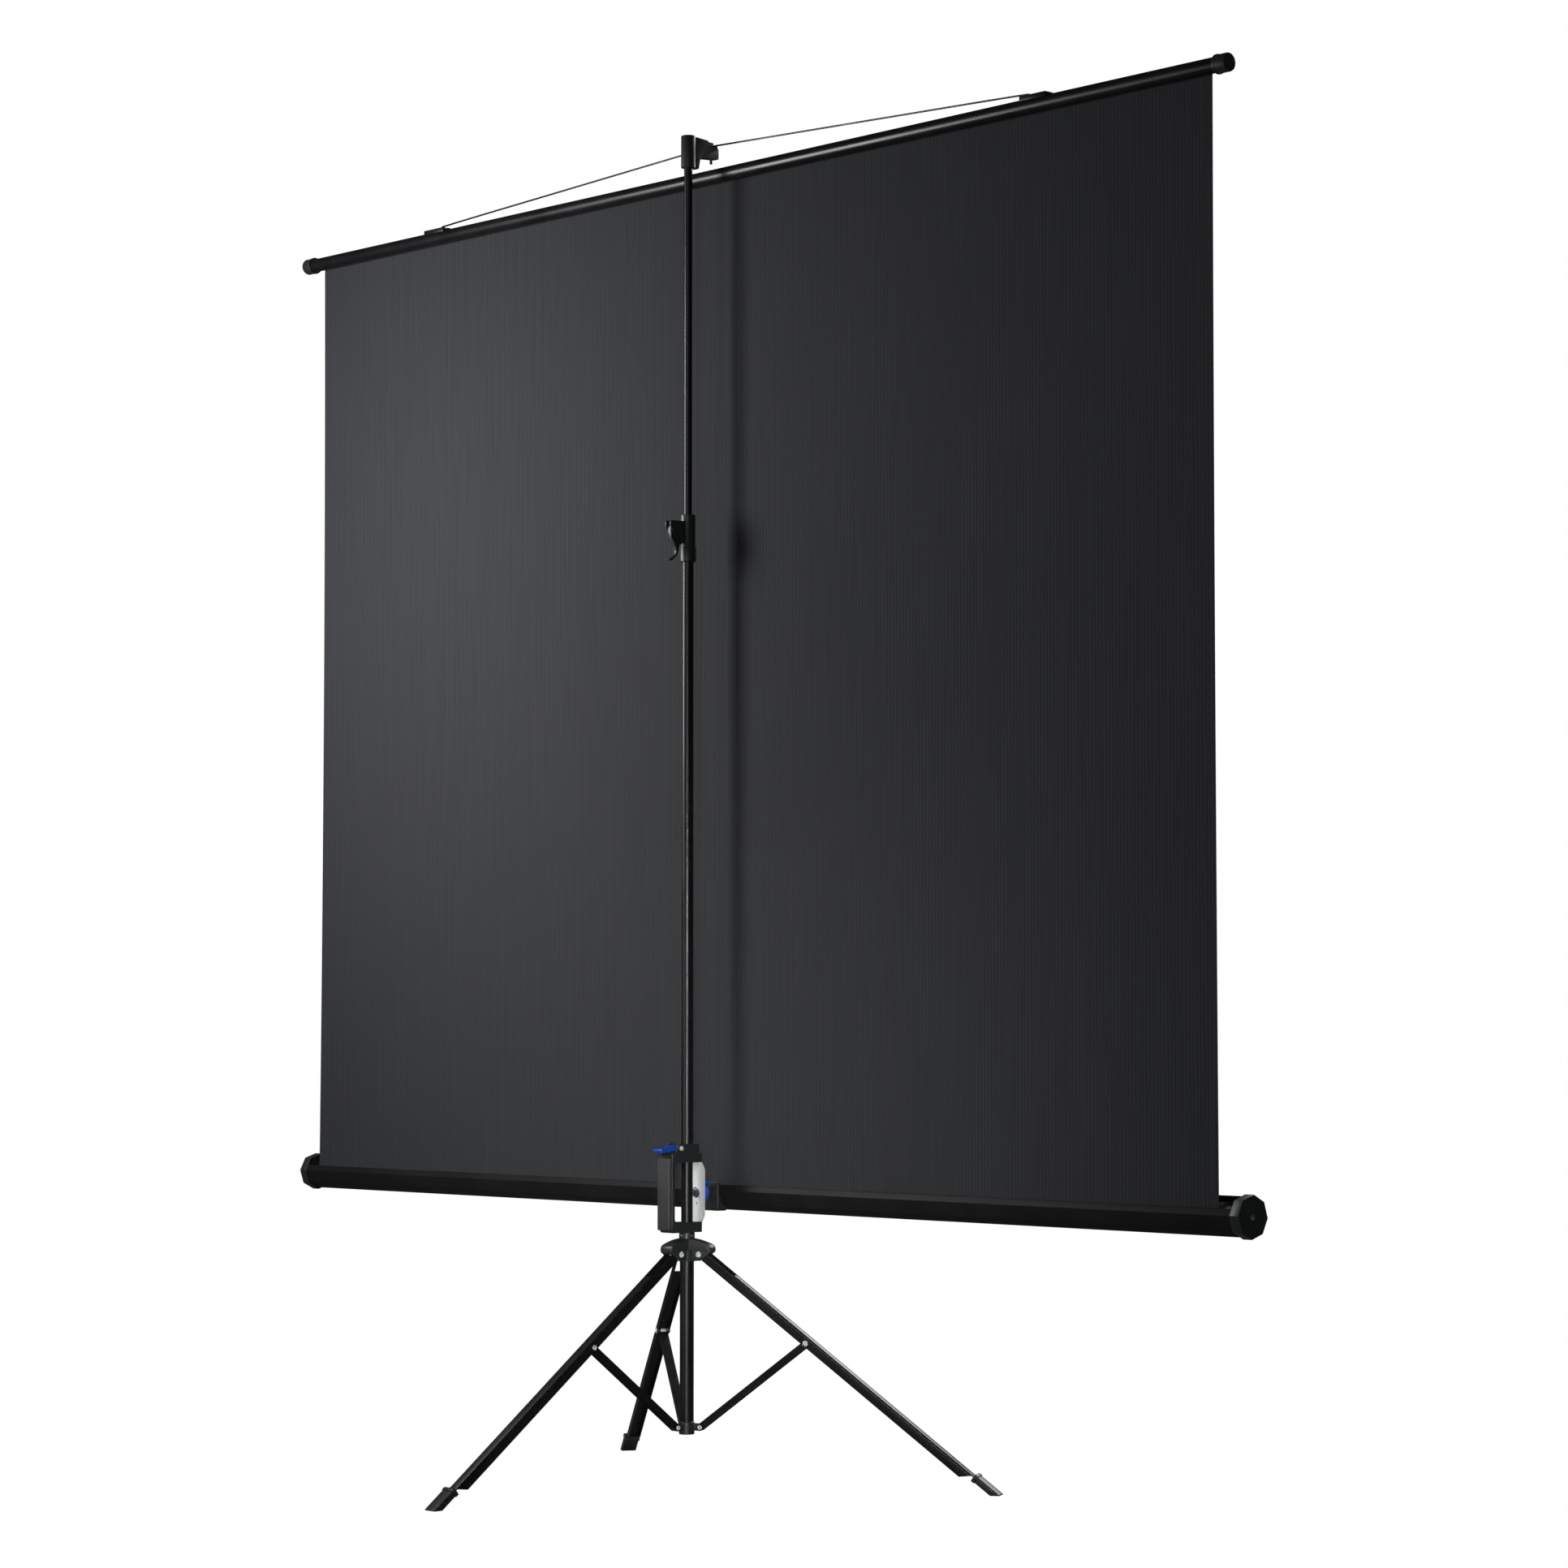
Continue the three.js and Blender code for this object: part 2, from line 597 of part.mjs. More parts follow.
// Corner of the eight-sided case outline at an angle in degrees, 0 towards the rear.
function caseCorner(angle, radius) {
  const turn = THREE.MathUtils.degToRad(angle + CASE_TURN);
  return [CASE_Y + radius * Math.cos(turn), CASE_Z + radius * Math.sin(turn)];
}

// Point at a height above the case centre on the upper rear facet.
function lipPoint(radius, height) {
  const [y0, z0] = caseCorner(0, radius);
  const [y1, z1] = caseCorner(45, radius);
  const share = (CASE_Z + height - z0) / (z1 - z0);
  return [y0 + share * (y1 - y0), CASE_Z + height];
}

const octagon = (radius) => [0, 1, 2, 3, 4, 5, 6, 7].map((k) => caseCorner(45 * k, radius));

function buildCase() {
  const inside = CASE_RADIUS - CASE_WALL / Math.cos(Math.PI / 8);
  const half = CASE_LENGTH / 2;
  const round = [0, 1, 2, 3, 4, 5, 6].map((k) => -45 * k);
  const shell = [
    lipPoint(CASE_RADIUS, CASE_LIP),
    ...round.map((a) => caseCorner(a, CASE_RADIUS)),
    ...round.map((a) => caseCorner(a, inside)).reverse(),
    lipPoint(inside, CASE_LIP),
  ];
  place("case_shell", slab(shell, -half, half), BLACK_PAINT);
  for (const [side, sign] of [["left", -1], ["right", 1]]) {
    const out = half + RUN + CASE_CAP_PLATE;
    const span = (a, b) => [Math.min(sign * a, sign * b), Math.max(sign * a, sign * b)];
    const cap = cut(
      slab(octagon(CASE_CAP_RADIUS), ...span(out - CASE_CAP_DEPTH, out)),
      slab(octagon(CASE_RADIUS + RUN), ...span(0, half + RUN)),
      rodX(SHAFT_RADIUS + FIT, ...span(0, half + RUN + 2), CASE_Y, CASE_Z),
    );
    place(`case_cap_${side}`, cap, BLACK_PLASTIC);
    const tube = CLOTH_WIDTH / 2 + 12;
    const plug = cut(
      join(
        rodX(ROLLER_RADIUS - TUBE_WALL - FIT, ...span(tube - 27, tube + 1), CASE_Y, CASE_Z),
        rodX(ROLLER_RADIUS, ...span(tube + FIT, tube + 3), CASE_Y, CASE_Z),
      ),
      rodX(SHAFT_RADIUS + RUN, ...span(tube - 30, tube + 5), CASE_Y, CASE_Z),
    );
    place(`roller_plug_${side}`, plug, BLACK_PLASTIC);
  }
  const tube = CLOTH_WIDTH / 2 + 12;
  const tip = half + RUN + 1.7;
  const spring = tube - 32;
  place(
    "roller_tube",
    cut(
      rodX(ROLLER_RADIUS, -tube, tube, CASE_Y, CASE_Z, 24),
      rodX(ROLLER_RADIUS - TUBE_WALL, -tube - 1, tube + 1, CASE_Y, CASE_Z, 24),
    ),
    STEEL,
  );
  place(
    "wound_cloth",
    cut(
      rodX(ROLL_RADIUS, -CLOTH_WIDTH / 2, CLOTH_WIDTH / 2, CASE_Y, CASE_Z, 32),
      rodX(ROLLER_RADIUS + FIT, -CLOTH_WIDTH, CLOTH_WIDTH, CASE_Y, CASE_Z, 24),
    ),
    ROLLED,
  );
  place("idle_pin", rodX(SHAFT_RADIUS, tube - 27, tip, CASE_Y, CASE_Z), STEEL);
  const shaftEnd = -spring + SPRING_LENGTH + SPRING_END;
  place("spring_shaft", rodX(SHAFT_RADIUS, -tip, shaftEnd, CASE_Y, CASE_Z), STEEL);
  place(
    "roller_spring",
    cut(
      rodX(SPRING_RADIUS, -spring, -spring + SPRING_LENGTH, CASE_Y, CASE_Z),
      rodX(SHAFT_RADIUS + RUN, -spring - 1, -spring + SPRING_LENGTH + 1, CASE_Y, CASE_Z),
    ),
    STEEL,
  );
  place(
    "cloth",
    block(
      -CLOTH_WIDTH / 2,
      CLOTH_WIDTH / 2,
      CLOTH_Y - CLOTH_THICK / 2,
      CLOTH_Y + CLOTH_THICK / 2,
      CASE_Z,
      BAR_Z - 5.5,
    ),
    CLOTH,
  );
}

// Moulded carrier: two blocks round the mast and a grip bar behind it.
function buildCarrierFrame() {
  const frontTop = CARRIER_FRONT + 6.5;
  const padIn = GRIP_Y - 6.5;
  const outline = new THREE.Shape();
  outline.moveTo(CARRIER_FRONT, CARRIER_Z);
  outline.lineTo(GRIP_Y - 8, CARRIER_Z);
  outline.quadraticCurveTo(padIn, CARRIER_Z, padIn, CARRIER_Z + 3);
  outline.lineTo(padIn, WINDOW_HIGH + 14);
  outline.lineTo(LEVER_Y + 12, WINDOW_HIGH + 14);
  outline.lineTo(LEVER_Y + 6, LEVER_Z + 3.6);
  outline.quadraticCurveTo(LEVER_Y + 3, LEVER_Z + 7, LEVER_Y, LEVER_Z + 7);
  outline.lineTo(LEVER_Y - 6, CARRIER_TOP);
  outline.lineTo(frontTop, CARRIER_TOP);
  outline.lineTo(frontTop, CARRIER_TOP - 15);
  outline.lineTo(CARRIER_FRONT, CARRIER_TOP - 15);
  outline.lineTo(CARRIER_FRONT, WINDOW_HIGH);
  outline.lineTo(GRIP_IN - 4, WINDOW_HIGH);
  outline.quadraticCurveTo(GRIP_IN, WINDOW_HIGH, GRIP_IN, WINDOW_HIGH - 4);
  outline.lineTo(GRIP_IN, WINDOW_LOW + 4);
  outline.quadraticCurveTo(GRIP_IN, WINDOW_LOW, GRIP_IN - 4, WINDOW_LOW);
  outline.lineTo(CARRIER_FRONT, WINDOW_LOW);
  return cut(
    slab(outline, -CARRIER_HALF, CARRIER_HALF),
    rodZ(BORE_RADIUS, CARRIER_Z - 1, CARRIER_TOP + 1),
    block(-10.4, 10.4, LEVER_Y - 6.6, GRIP_Y + 20, WINDOW_HIGH + 10.5, CARRIER_TOP + 20),
    block(-4.4, 4.4, 6, LEVER_Y - 4, WINDOW_HIGH + 12.2, CARRIER_TOP - 1.5),
    rodX(2.2 + FIT, -20, 20, LEVER_Y, LEVER_Z, 16),
  );
}

function buildReleaseLever() {
  const tip = GRIP_Y + 10.8;
  const blade = [
    [LEVER_Y - 4.5, LEVER_Z - 3.2],
    [LEVER_Y, LEVER_Z - 5.6],
    [LEVER_Y + 6, LEVER_Z - 3.6],
    [LEVER_Y + 20, LEVER_Z - 5.4],
    [tip - 3, LEVER_Z - 7],
    [tip, LEVER_Z - 5],
    [tip, LEVER_Z - 1.6],
    [tip - 3, LEVER_Z],
    [LEVER_Y + 20, LEVER_Z + 2.2],
    [LEVER_Y + 8, LEVER_Z + 4.8],
    [LEVER_Y, LEVER_Z + 5.4],
    [LEVER_Y - 4.5, LEVER_Z + 2.6],
  ];
  return cut(slab(blade, -10, 10), rodX(2.2 + FIT, -20, 20, LEVER_Y, LEVER_Z, 16));
}

function buildBracket() {
  const back = CARRIER_FRONT - FIT;
  const web = back - BRACKET_WALL;
  const flange = [
    [back, CASE_Z - 46],
    [web, CASE_Z - 46],
    [back - BRACKET_DEPTH, CASE_Z - 34],
    [back - BRACKET_DEPTH, CASE_Z + 34],
    [web, CASE_Z + 46],
    [back, CASE_Z + 46],
  ];
  return cut(
    join(
      block(-BRACKET_HALF, BRACKET_HALF, web, back, CARRIER_Z + 5, WINDOW_HIGH + 9),
      slab(flange, BRACKET_HALF - BRACKET_WALL, BRACKET_HALF),
      slab(flange, -BRACKET_HALF, -BRACKET_HALF + BRACKET_WALL),
    ),
    rodY(3 + FIT, web - 1, back + 1, 0, CASE_Z),
    rodY(2, web - 1, back + 1, 0, CASE_Z - 16, 16),
  );
}

// Saddle that hugs the rear facets of the case below the cloth slot.
function buildSaddle() {
  const skin = CASE_RADIUS + RUN / Math.cos(Math.PI / 8);
  const low = caseCorner(-45, skin);
  const foot = caseCorner(-90, skin);
  const under = [low[0] + (foot[0] - low[0]) * 0.4, low[1] + (foot[1] - low[1]) * 0.4];
  const outline = [
    [SADDLE_Y, CASE_Z - 28],
    [SADDLE_Y, CASE_Z + 14],
    [lipPoint(skin, CASE_LIP)[0] + 0.4, CASE_Z + 14],
    [lipPoint(skin, CASE_LIP)[0] + 0.4, CASE_Z + CASE_LIP],
    lipPoint(skin, CASE_LIP - 1),
    caseCorner(0, skin),
    low,
    under,
    [under[0], CASE_Z - 28],
  ];
  const ring = CARRIER_FRONT - BRACKET_DEPTH - 2 * FIT - RING_DEPTH;
  return cut(
    join(slab(outline, -SADDLE_HALF, SADDLE_HALF), rodY(10, SADDLE_Y - 0.5, ring - FIT, 0, CASE_Z)),
    rodY(3 + FIT, SADDLE_Y - 2, ring + 5, 0, CASE_Z),
  );
}

function buildCarrier() {
  place("carrier_frame", buildCarrierFrame(), BLACK_PLASTIC);
  const pad = new THREE.Shape();
  const padIn = GRIP_Y - 6.5 + FIT;
  pad.moveTo(padIn, CARRIER_Z + 4);
  pad.lineTo(GRIP_Y - 4, CARRIER_Z + 4);
  pad.quadraticCurveTo(GRIP_Y, CARRIER_Z + 4, GRIP_Y, CARRIER_Z + 9);
  pad.lineTo(GRIP_Y, WINDOW_HIGH + 3);
  pad.quadraticCurveTo(GRIP_Y, WINDOW_HIGH + 7, GRIP_Y - 4, WINDOW_HIGH + 7);
  pad.lineTo(padIn, WINDOW_HIGH + 7);
  place("grip_pad", slab(pad, -CARRIER_HALF, CARRIER_HALF), GREY_RUBBER);
  const bush = (z0, z1) => tubeZ(BORE_RADIUS - FIT, MAST_RADIUS + FIT, z0, z1);
  place("lower_bush", bush(CARRIER_Z + 0.5, WINDOW_LOW - 1), BLACK_PLASTIC);
  place("upper_bush", bush(WINDOW_HIGH + 1, WINDOW_HIGH + 10), BLACK_PLASTIC);
  place(
    "brake_shoe",
    cut(
      block(-4, 4, 6.5, LEVER_Y - 6, WINDOW_HIGH + 13, CARRIER_TOP - 2),
      rodZ(MAST_RADIUS + FIT, CARRIER_Z, CARRIER_TOP + 1),
    ),
    BLACK_PLASTIC,
  );
  place("lever_pin", rivet(CARRIER_HALF, 2.2, 3.8, 1.2, LEVER_Y, LEVER_Z), STEEL);
  place("release_lever", buildReleaseLever(), BLUE_PLASTIC);
  place("pivot_bracket", buildBracket(), ZINC);
  const back = CARRIER_FRONT - FIT;
  const ringBack = CARRIER_FRONT - BRACKET_DEPTH - 2 * FIT;
  place(
    "pivot_bolt",
    join(
      rodY(7, back + FIT, back + 3, 0, CASE_Z, 6),
      rodY(8, back + FIT, back + 1.2, 0, CASE_Z, 20),
      rodY(3, SADDLE_Y - 1.5, back + 1, 0, CASE_Z, 20),
    ),
    STEEL,
  );
  const lip = [
    [ringBack, CASE_Z + 11],
    [ringBack, CASE_Z + 16.4],
    [ringBack - 12, CASE_Z + 16.4],
    [ringBack - 12, CASE_Z + 13.2],
    [ringBack - RING_DEPTH, CASE_Z + 12],
    [ringBack - RING_DEPTH, CASE_Z + 11],
  ];
  place(
    "swivel_lock",
    cut(
      join(rodY(RING_RADIUS, ringBack - RING_DEPTH, ringBack, 0, CASE_Z, 32), slab(lip, -8, 8)),
      rodY(3 + RUN, ringBack - 20, ringBack + 1, 0, CASE_Z, 20),
    ),
    BLUE_PLASTIC,
  );
  place("case_saddle", buildSaddle(), BLACK_PLASTIC);
}

buildTripod();
buildMast();
buildTopBar();
buildCase();
buildCarrier();

// Stand the middle of the footprint on the origin.
whole.updateMatrixWorld(true);
const box = new THREE.Box3().setFromObject(whole, true);
const middle = box.getCenter(new THREE.Vector3());
mast.position.set(-middle.x, -middle.y, -box.min.z);

export default whole;
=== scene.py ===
"""Looks of a tripod projection screen standing open, seen from behind."""

from __future__ import annotations

import logging
import math
from dataclasses import dataclass
from enum import Enum

import bpy
from mathutils import Matrix, Vector


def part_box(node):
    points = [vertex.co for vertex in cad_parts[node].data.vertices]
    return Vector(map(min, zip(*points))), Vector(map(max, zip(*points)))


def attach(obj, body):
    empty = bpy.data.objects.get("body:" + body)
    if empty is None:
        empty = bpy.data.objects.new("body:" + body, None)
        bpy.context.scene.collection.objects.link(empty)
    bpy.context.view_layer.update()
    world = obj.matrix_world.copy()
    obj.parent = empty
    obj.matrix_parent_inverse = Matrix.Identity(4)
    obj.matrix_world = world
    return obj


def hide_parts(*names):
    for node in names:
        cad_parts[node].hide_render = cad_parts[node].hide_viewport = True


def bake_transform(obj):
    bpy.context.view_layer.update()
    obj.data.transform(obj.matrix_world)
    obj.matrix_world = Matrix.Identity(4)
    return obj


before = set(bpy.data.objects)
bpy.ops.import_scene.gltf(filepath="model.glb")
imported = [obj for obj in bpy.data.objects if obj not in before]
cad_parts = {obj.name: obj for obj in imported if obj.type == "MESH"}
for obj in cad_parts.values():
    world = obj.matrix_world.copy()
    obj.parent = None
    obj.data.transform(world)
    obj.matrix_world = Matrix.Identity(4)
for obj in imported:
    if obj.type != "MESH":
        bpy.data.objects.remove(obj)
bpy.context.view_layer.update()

MM = 0.001
GAP = 0.3
MERGE = 0.000002
SMOOTH = math.radians(30.0)
Point2 = tuple[float, float]
Point3 = tuple[float, float, float]
Colour = tuple[float, float, float]
Outline = list[Point2]
Piece = bpy.types.Object
Socket = bpy.types.NodeSocket
Inputs = dict[int | str, object]
LOG = logging.getLogger("screen")


class Side(Enum):
    """The two ends of the bar and the case, by their sign along X."""

    LEFT = -1
    RIGHT = 1

    @property
    def word(self) -> str:
        """The side's word in node names."""
        return self.name.lower()


class Spoke(Enum):
    """The three directions of the tripod, by their turn from the rear leg in degrees."""

    REAR = 0
    LEFT = 120
    RIGHT = -120

    @property
    def word(self) -> str:
        """The spoke's word in node names."""
        return self.name.lower()

    @property
    def turn(self) -> Matrix:
        """The spoke's turn round the mast axis."""
        return Matrix.Rotation(math.radians(self.value), 4, "Z")


def grain_group() -> bpy.types.NodeTree:
    """Shared node group: layered noise in object space with a stretch along each axis.

    Returns:
        The node group, made on its first use.
    """
    known = bpy.data.node_groups.get("surface_grain")
    if known:
        return known
    tree = bpy.data.node_groups.new("surface_grain", "ShaderNodeTree")
    for word, way, kind in (("Stretch", "INPUT", "Vector"), ("Fine", "INPUT", "Float"),
                            ("Broad", "INPUT", "Float"), ("Grain", "OUTPUT", "Float"),
                            ("Cloud", "OUTPUT", "Float")):
        tree.interface.new_socket(word, in_out=way, socket_type=f"NodeSocket{kind}")
    nodes, links = tree.nodes, tree.links
    start = nodes.new("NodeGroupInput")
    end = nodes.new("NodeGroupOutput")
    where = nodes.new("ShaderNodeTexCoord")
    scale = nodes.new("ShaderNodeVectorMath")
    scale.operation = "MULTIPLY"
    links.new(where.outputs["Object"], scale.inputs[0])
    links.new(start.outputs["Stretch"], scale.inputs[1])
    for source, target, detail in (("Fine", "Grain", 3.0), ("Broad", "Cloud", 5.0)):
        noise = nodes.new("ShaderNodeTexNoise")
        noise.inputs["Detail"].default_value = detail
        links.new(scale.outputs[0], noise.inputs["Vector"])
        links.new(start.outputs[source], noise.inputs["Scale"])
        links.new(noise.outputs[0], end.inputs[target])
    return tree


class Nodes:
    """A material's node tree with short calls for the nodes used here."""

    def __init__(self, name: str) -> None:
        """Start a material.

        Args:
            name: Its name.
        """
        self.material = bpy.data.materials.new(name)
        self.material.use_nodes = True
        self.tree = self.material.node_tree
        self.shader = self.tree.nodes["Principled BSDF"]

    def feed(self, node: bpy.types.Node, values: Inputs) -> None:
        """Set a node's inputs to constants, or link them to sockets.

        Args:
            node: The node.
            values: What goes into each input, by its name or its place.
        """
        for slot, value in values.items():
            if isinstance(value, (int, float, tuple)):
                node.inputs[slot].default_value = value
            else:
                self.tree.links.new(value, node.inputs[slot])

    def add(self, kind: str, values: Inputs | None = None, **options: object) -> bpy.types.Node:
        """Add a node.

        Args:
            kind: Its type.
            values: What goes into its inputs.
            options: Its settings.

        Returns:
            The node.
        """
        node = self.tree.nodes.new(kind)
        for word, option in options.items():
            setattr(node, word, option)
        self.feed(node, values or {})
        return node

    def axes(self) -> bpy.types.Node:
        """Add a node that splits the object coordinates, and return it."""
        where = self.add("ShaderNodeTexCoord")
        return self.add("ShaderNodeSeparateXYZ", {0: where.outputs["Object"]})

    def grain(self, stretch: Point3, fine: float, broad: float) -> bpy.types.Node:
        """Add the shared grain group with its noise scales per metre, and return it."""
        values = {"Stretch": stretch, "Fine": fine, "Broad": broad}
        return self.add("ShaderNodeGroup", values, node_tree=grain_group())

    def math(self, operation: str, first: Socket | float, second: Socket | float) -> Socket:
        """Add a math node on two sockets or numbers and return its result."""
        return self.add("ShaderNodeMath", {0: first, 1: second}, operation=operation).outputs[0]

    def mix(self, factor: Socket, low: Colour, high: Colour | Socket) -> Socket:
        """Mix two colours.

        Args:
            factor: Share of the second colour.
            low: The first colour.
            high: The second colour.

        Returns:
            The colour socket.
        """
        ends = [(*end, 1.0) if isinstance(end, tuple) else end for end in (low, high)]
        values = {"Factor": factor, "A": ends[0], "B": ends[1]}
        return self.add("ShaderNodeMix", values, data_type="RGBA").outputs["Result"]

    def span(self, source: Socket, low: float, high: float) -> Socket:
        """Map the middle of a noise to a range and return the value socket."""
        values = {"From Min": 0.3, "From Max": 0.7, "To Min": low, "To Max": high, "Value": source}
        return self.add("ShaderNodeMapRange", values).outputs[0]

    def bump(self, source: Socket, strength: float, distance: float) -> None:
        """Use a socket as the surface's height, with a distance in metres."""
        node = self.add("ShaderNodeBump", {"Strength": strength, "Distance": distance, "Height": source})
        self.feed(self.shader, {"Normal": node.outputs[0]})


@dataclass(frozen=True)
class Finish:
    """A hard surface: paint, plastic, rubber or metal."""

    name: str
    slot: str
    dark: Colour
    light: Colour
    rough: Point2
    metallic: float = 0.0
    coat: float = 0.0
    fine: float = 900.0
    broad: float = 14.0
    stretch: Point3 = (1.0, 1.0, 1.0)
    height: float = 0.00003
    specular: float = 0.5
    coat_rough: float = 0.12
    bump: float = 0.35

    def material(self) -> bpy.types.Material:
        """Make the material on its first use.

        Returns:
            The material.
        """
        known = bpy.data.materials.get(self.name)
        if known:
            return known
        nodes = Nodes(self.name)
        grain = nodes.grain(self.stretch, self.fine, self.broad)
        mixed = nodes.math("MULTIPLY", grain.outputs["Grain"], grain.outputs["Cloud"])
        share = nodes.span(nodes.math("MULTIPLY", mixed, 2.0), 0.0, 1.0)
        nodes.feed(nodes.shader, {
            "Base Color": nodes.mix(share, self.dark, self.light),
            "Roughness": nodes.span(grain.outputs["Cloud"], *self.rough),
            "Metallic": self.metallic,
            "Specular IOR Level": self.specular,
            "Coat Weight": self.coat,
            "Coat Roughness": self.coat_rough,
        })
        nodes.bump(grain.outputs["Grain"], self.bump, self.height)
        return nodes.material


@dataclass(frozen=True)
class ClothBack:
    """Black coated back of the cloth with fine upright ribs."""

    name: str = "cloth_back"
    dark: Colour = (0.030, 0.031, 0.034)
    light: Colour = (0.052, 0.053, 0.057)
    rough: Point2 = (0.84, 0.9)
    specular: float = 0.06
    rib: float = 0.0065
    rib_share: float = 0.35
    height: float = 0.00008

    def material(self) -> bpy.types.Material:
        """Make the material.

        Returns:
            The material.
        """
        nodes = Nodes(self.name)
        grain = nodes.grain((1.0, 1.0, 0.02), 420.0, 16.0)
        weave = nodes.grain((1.0, 1.0, 1.0), 1500.0, 5.0)
        turn = nodes.math("MULTIPLY", nodes.axes().outputs["X"], 2.0 * math.pi / self.rib)
        rib = nodes.math("MULTIPLY", nodes.math("SINE", turn, 0.0), self.rib_share)
        height = nodes.math("ADD", rib, grain.outputs["Grain"])
        tone = nodes.math("ADD", nodes.math("MULTIPLY", height, 0.35),
                          nodes.math("MULTIPLY", weave.outputs["Grain"], 0.5))
        nodes.feed(nodes.shader, {
            "Base Color": nodes.mix(nodes.span(tone, 0.1, 0.9), self.dark, self.light),
            "Roughness": nodes.span(weave.outputs["Cloud"], *self.rough),
            "Specular IOR Level": self.specular,
        })
        nodes.bump(height, 0.3, self.height)
        return nodes.material


@dataclass(frozen=True)
class ClothFront:
    """Matt white front of the cloth inside a black border."""

    name: str = "cloth_front"
    half: float = 0.955
    low: float = 0.52
    high: float = 1.90
    border: Colour = (0.02, 0.02, 0.022)
    dim: Colour = (0.78, 0.78, 0.77)
    white: Colour = (0.86, 0.86, 0.85)
    rough: Point2 = (0.82, 0.92)
    height: float = 0.00005

    def material(self) -> bpy.types.Material:
        """Make the material.

        Returns:
            The material.
        """
        nodes = Nodes(self.name)
        axes = nodes.axes()
        wide = nodes.math("LESS_THAN", nodes.math("ABSOLUTE", axes.outputs["X"], 0.0), self.half)
        tall = nodes.math("MULTIPLY", nodes.math("GREATER_THAN", axes.outputs["Z"], self.low),
                          nodes.math("LESS_THAN", axes.outputs["Z"], self.high))
        grain = nodes.grain((1.0, 1.0, 1.0), 1600.0, 6.0)
        white = nodes.mix(nodes.span(grain.outputs["Grain"], 0.0, 1.0), self.dim, self.white)
        nodes.feed(nodes.shader, {
            "Base Color": nodes.mix(nodes.math("MULTIPLY", wide, tall), self.border, white),
            "Roughness": nodes.span(grain.outputs["Cloud"], *self.rough),
        })
        nodes.bump(grain.outputs["Grain"], 0.25, self.height)
        return nodes.material


PAINT = Finish("gloss_black_paint", "black_paint", (0.005, 0.005, 0.006), (0.010, 0.010, 0.011), (0.30, 0.38),
               coat=0.08, fine=300.0, height=0.000002, specular=0.32)
CASE_PAINT = Finish("satin_black_paint", "black_paint", (0.008, 0.008, 0.009), (0.013, 0.013, 0.014),
                    (0.5, 0.58), height=0.000004, specular=0.16)
PLASTIC = Finish("black_plastic", "black_plastic", (0.006, 0.006, 0.007), (0.013, 0.013, 0.014), (0.42, 0.54),
                 fine=1400.0, height=0.000006, specular=0.3)
GRIP = Finish("grip_rubber", "grey_rubber", (0.022, 0.022, 0.024), (0.042, 0.042, 0.045), (0.5, 0.66),
              fine=1600.0, height=0.00004)
BLUE = Finish("blue_plastic", "blue_plastic", (0.003, 0.045, 0.36), (0.010, 0.090, 0.60), (0.28, 0.4),
              coat=0.2, fine=1200.0, height=0.00001)
ZINC = Finish("zinc_plate", "zinc", (0.84, 0.85, 0.86), (0.97, 0.97, 0.98), (0.3, 0.44), metallic=0.1,
              fine=500.0, broad=40.0, stretch=(1.0, 1.0, 0.15), height=0.00001)
STEEL = Finish("bright_steel", "steel", (0.48, 0.48, 0.50), (0.72, 0.72, 0.74), (0.2, 0.34), metallic=1.0,
               broad=60.0, height=0.00001)
RIVET = Finish("tinned_rivet", "steel", (0.80, 0.80, 0.81), (0.96, 0.96, 0.97), (0.24, 0.36), metallic=0.25,
               broad=60.0, height=0.00001)
ALUMINIUM = Finish("plain_aluminium", "aluminium", (0.5, 0.5, 0.52), (0.66, 0.66, 0.68), (0.3, 0.42),
                   metallic=1.0, fine=400.0, stretch=(0.05, 1.0, 1.0), height=0.00001)
ROLLED = Finish("rolled_cloth", "cloth", (0.024, 0.024, 0.027), (0.045, 0.045, 0.05), (0.65, 0.8),
                fine=420.0, stretch=(1.0, 0.3, 0.3), height=0.00005)


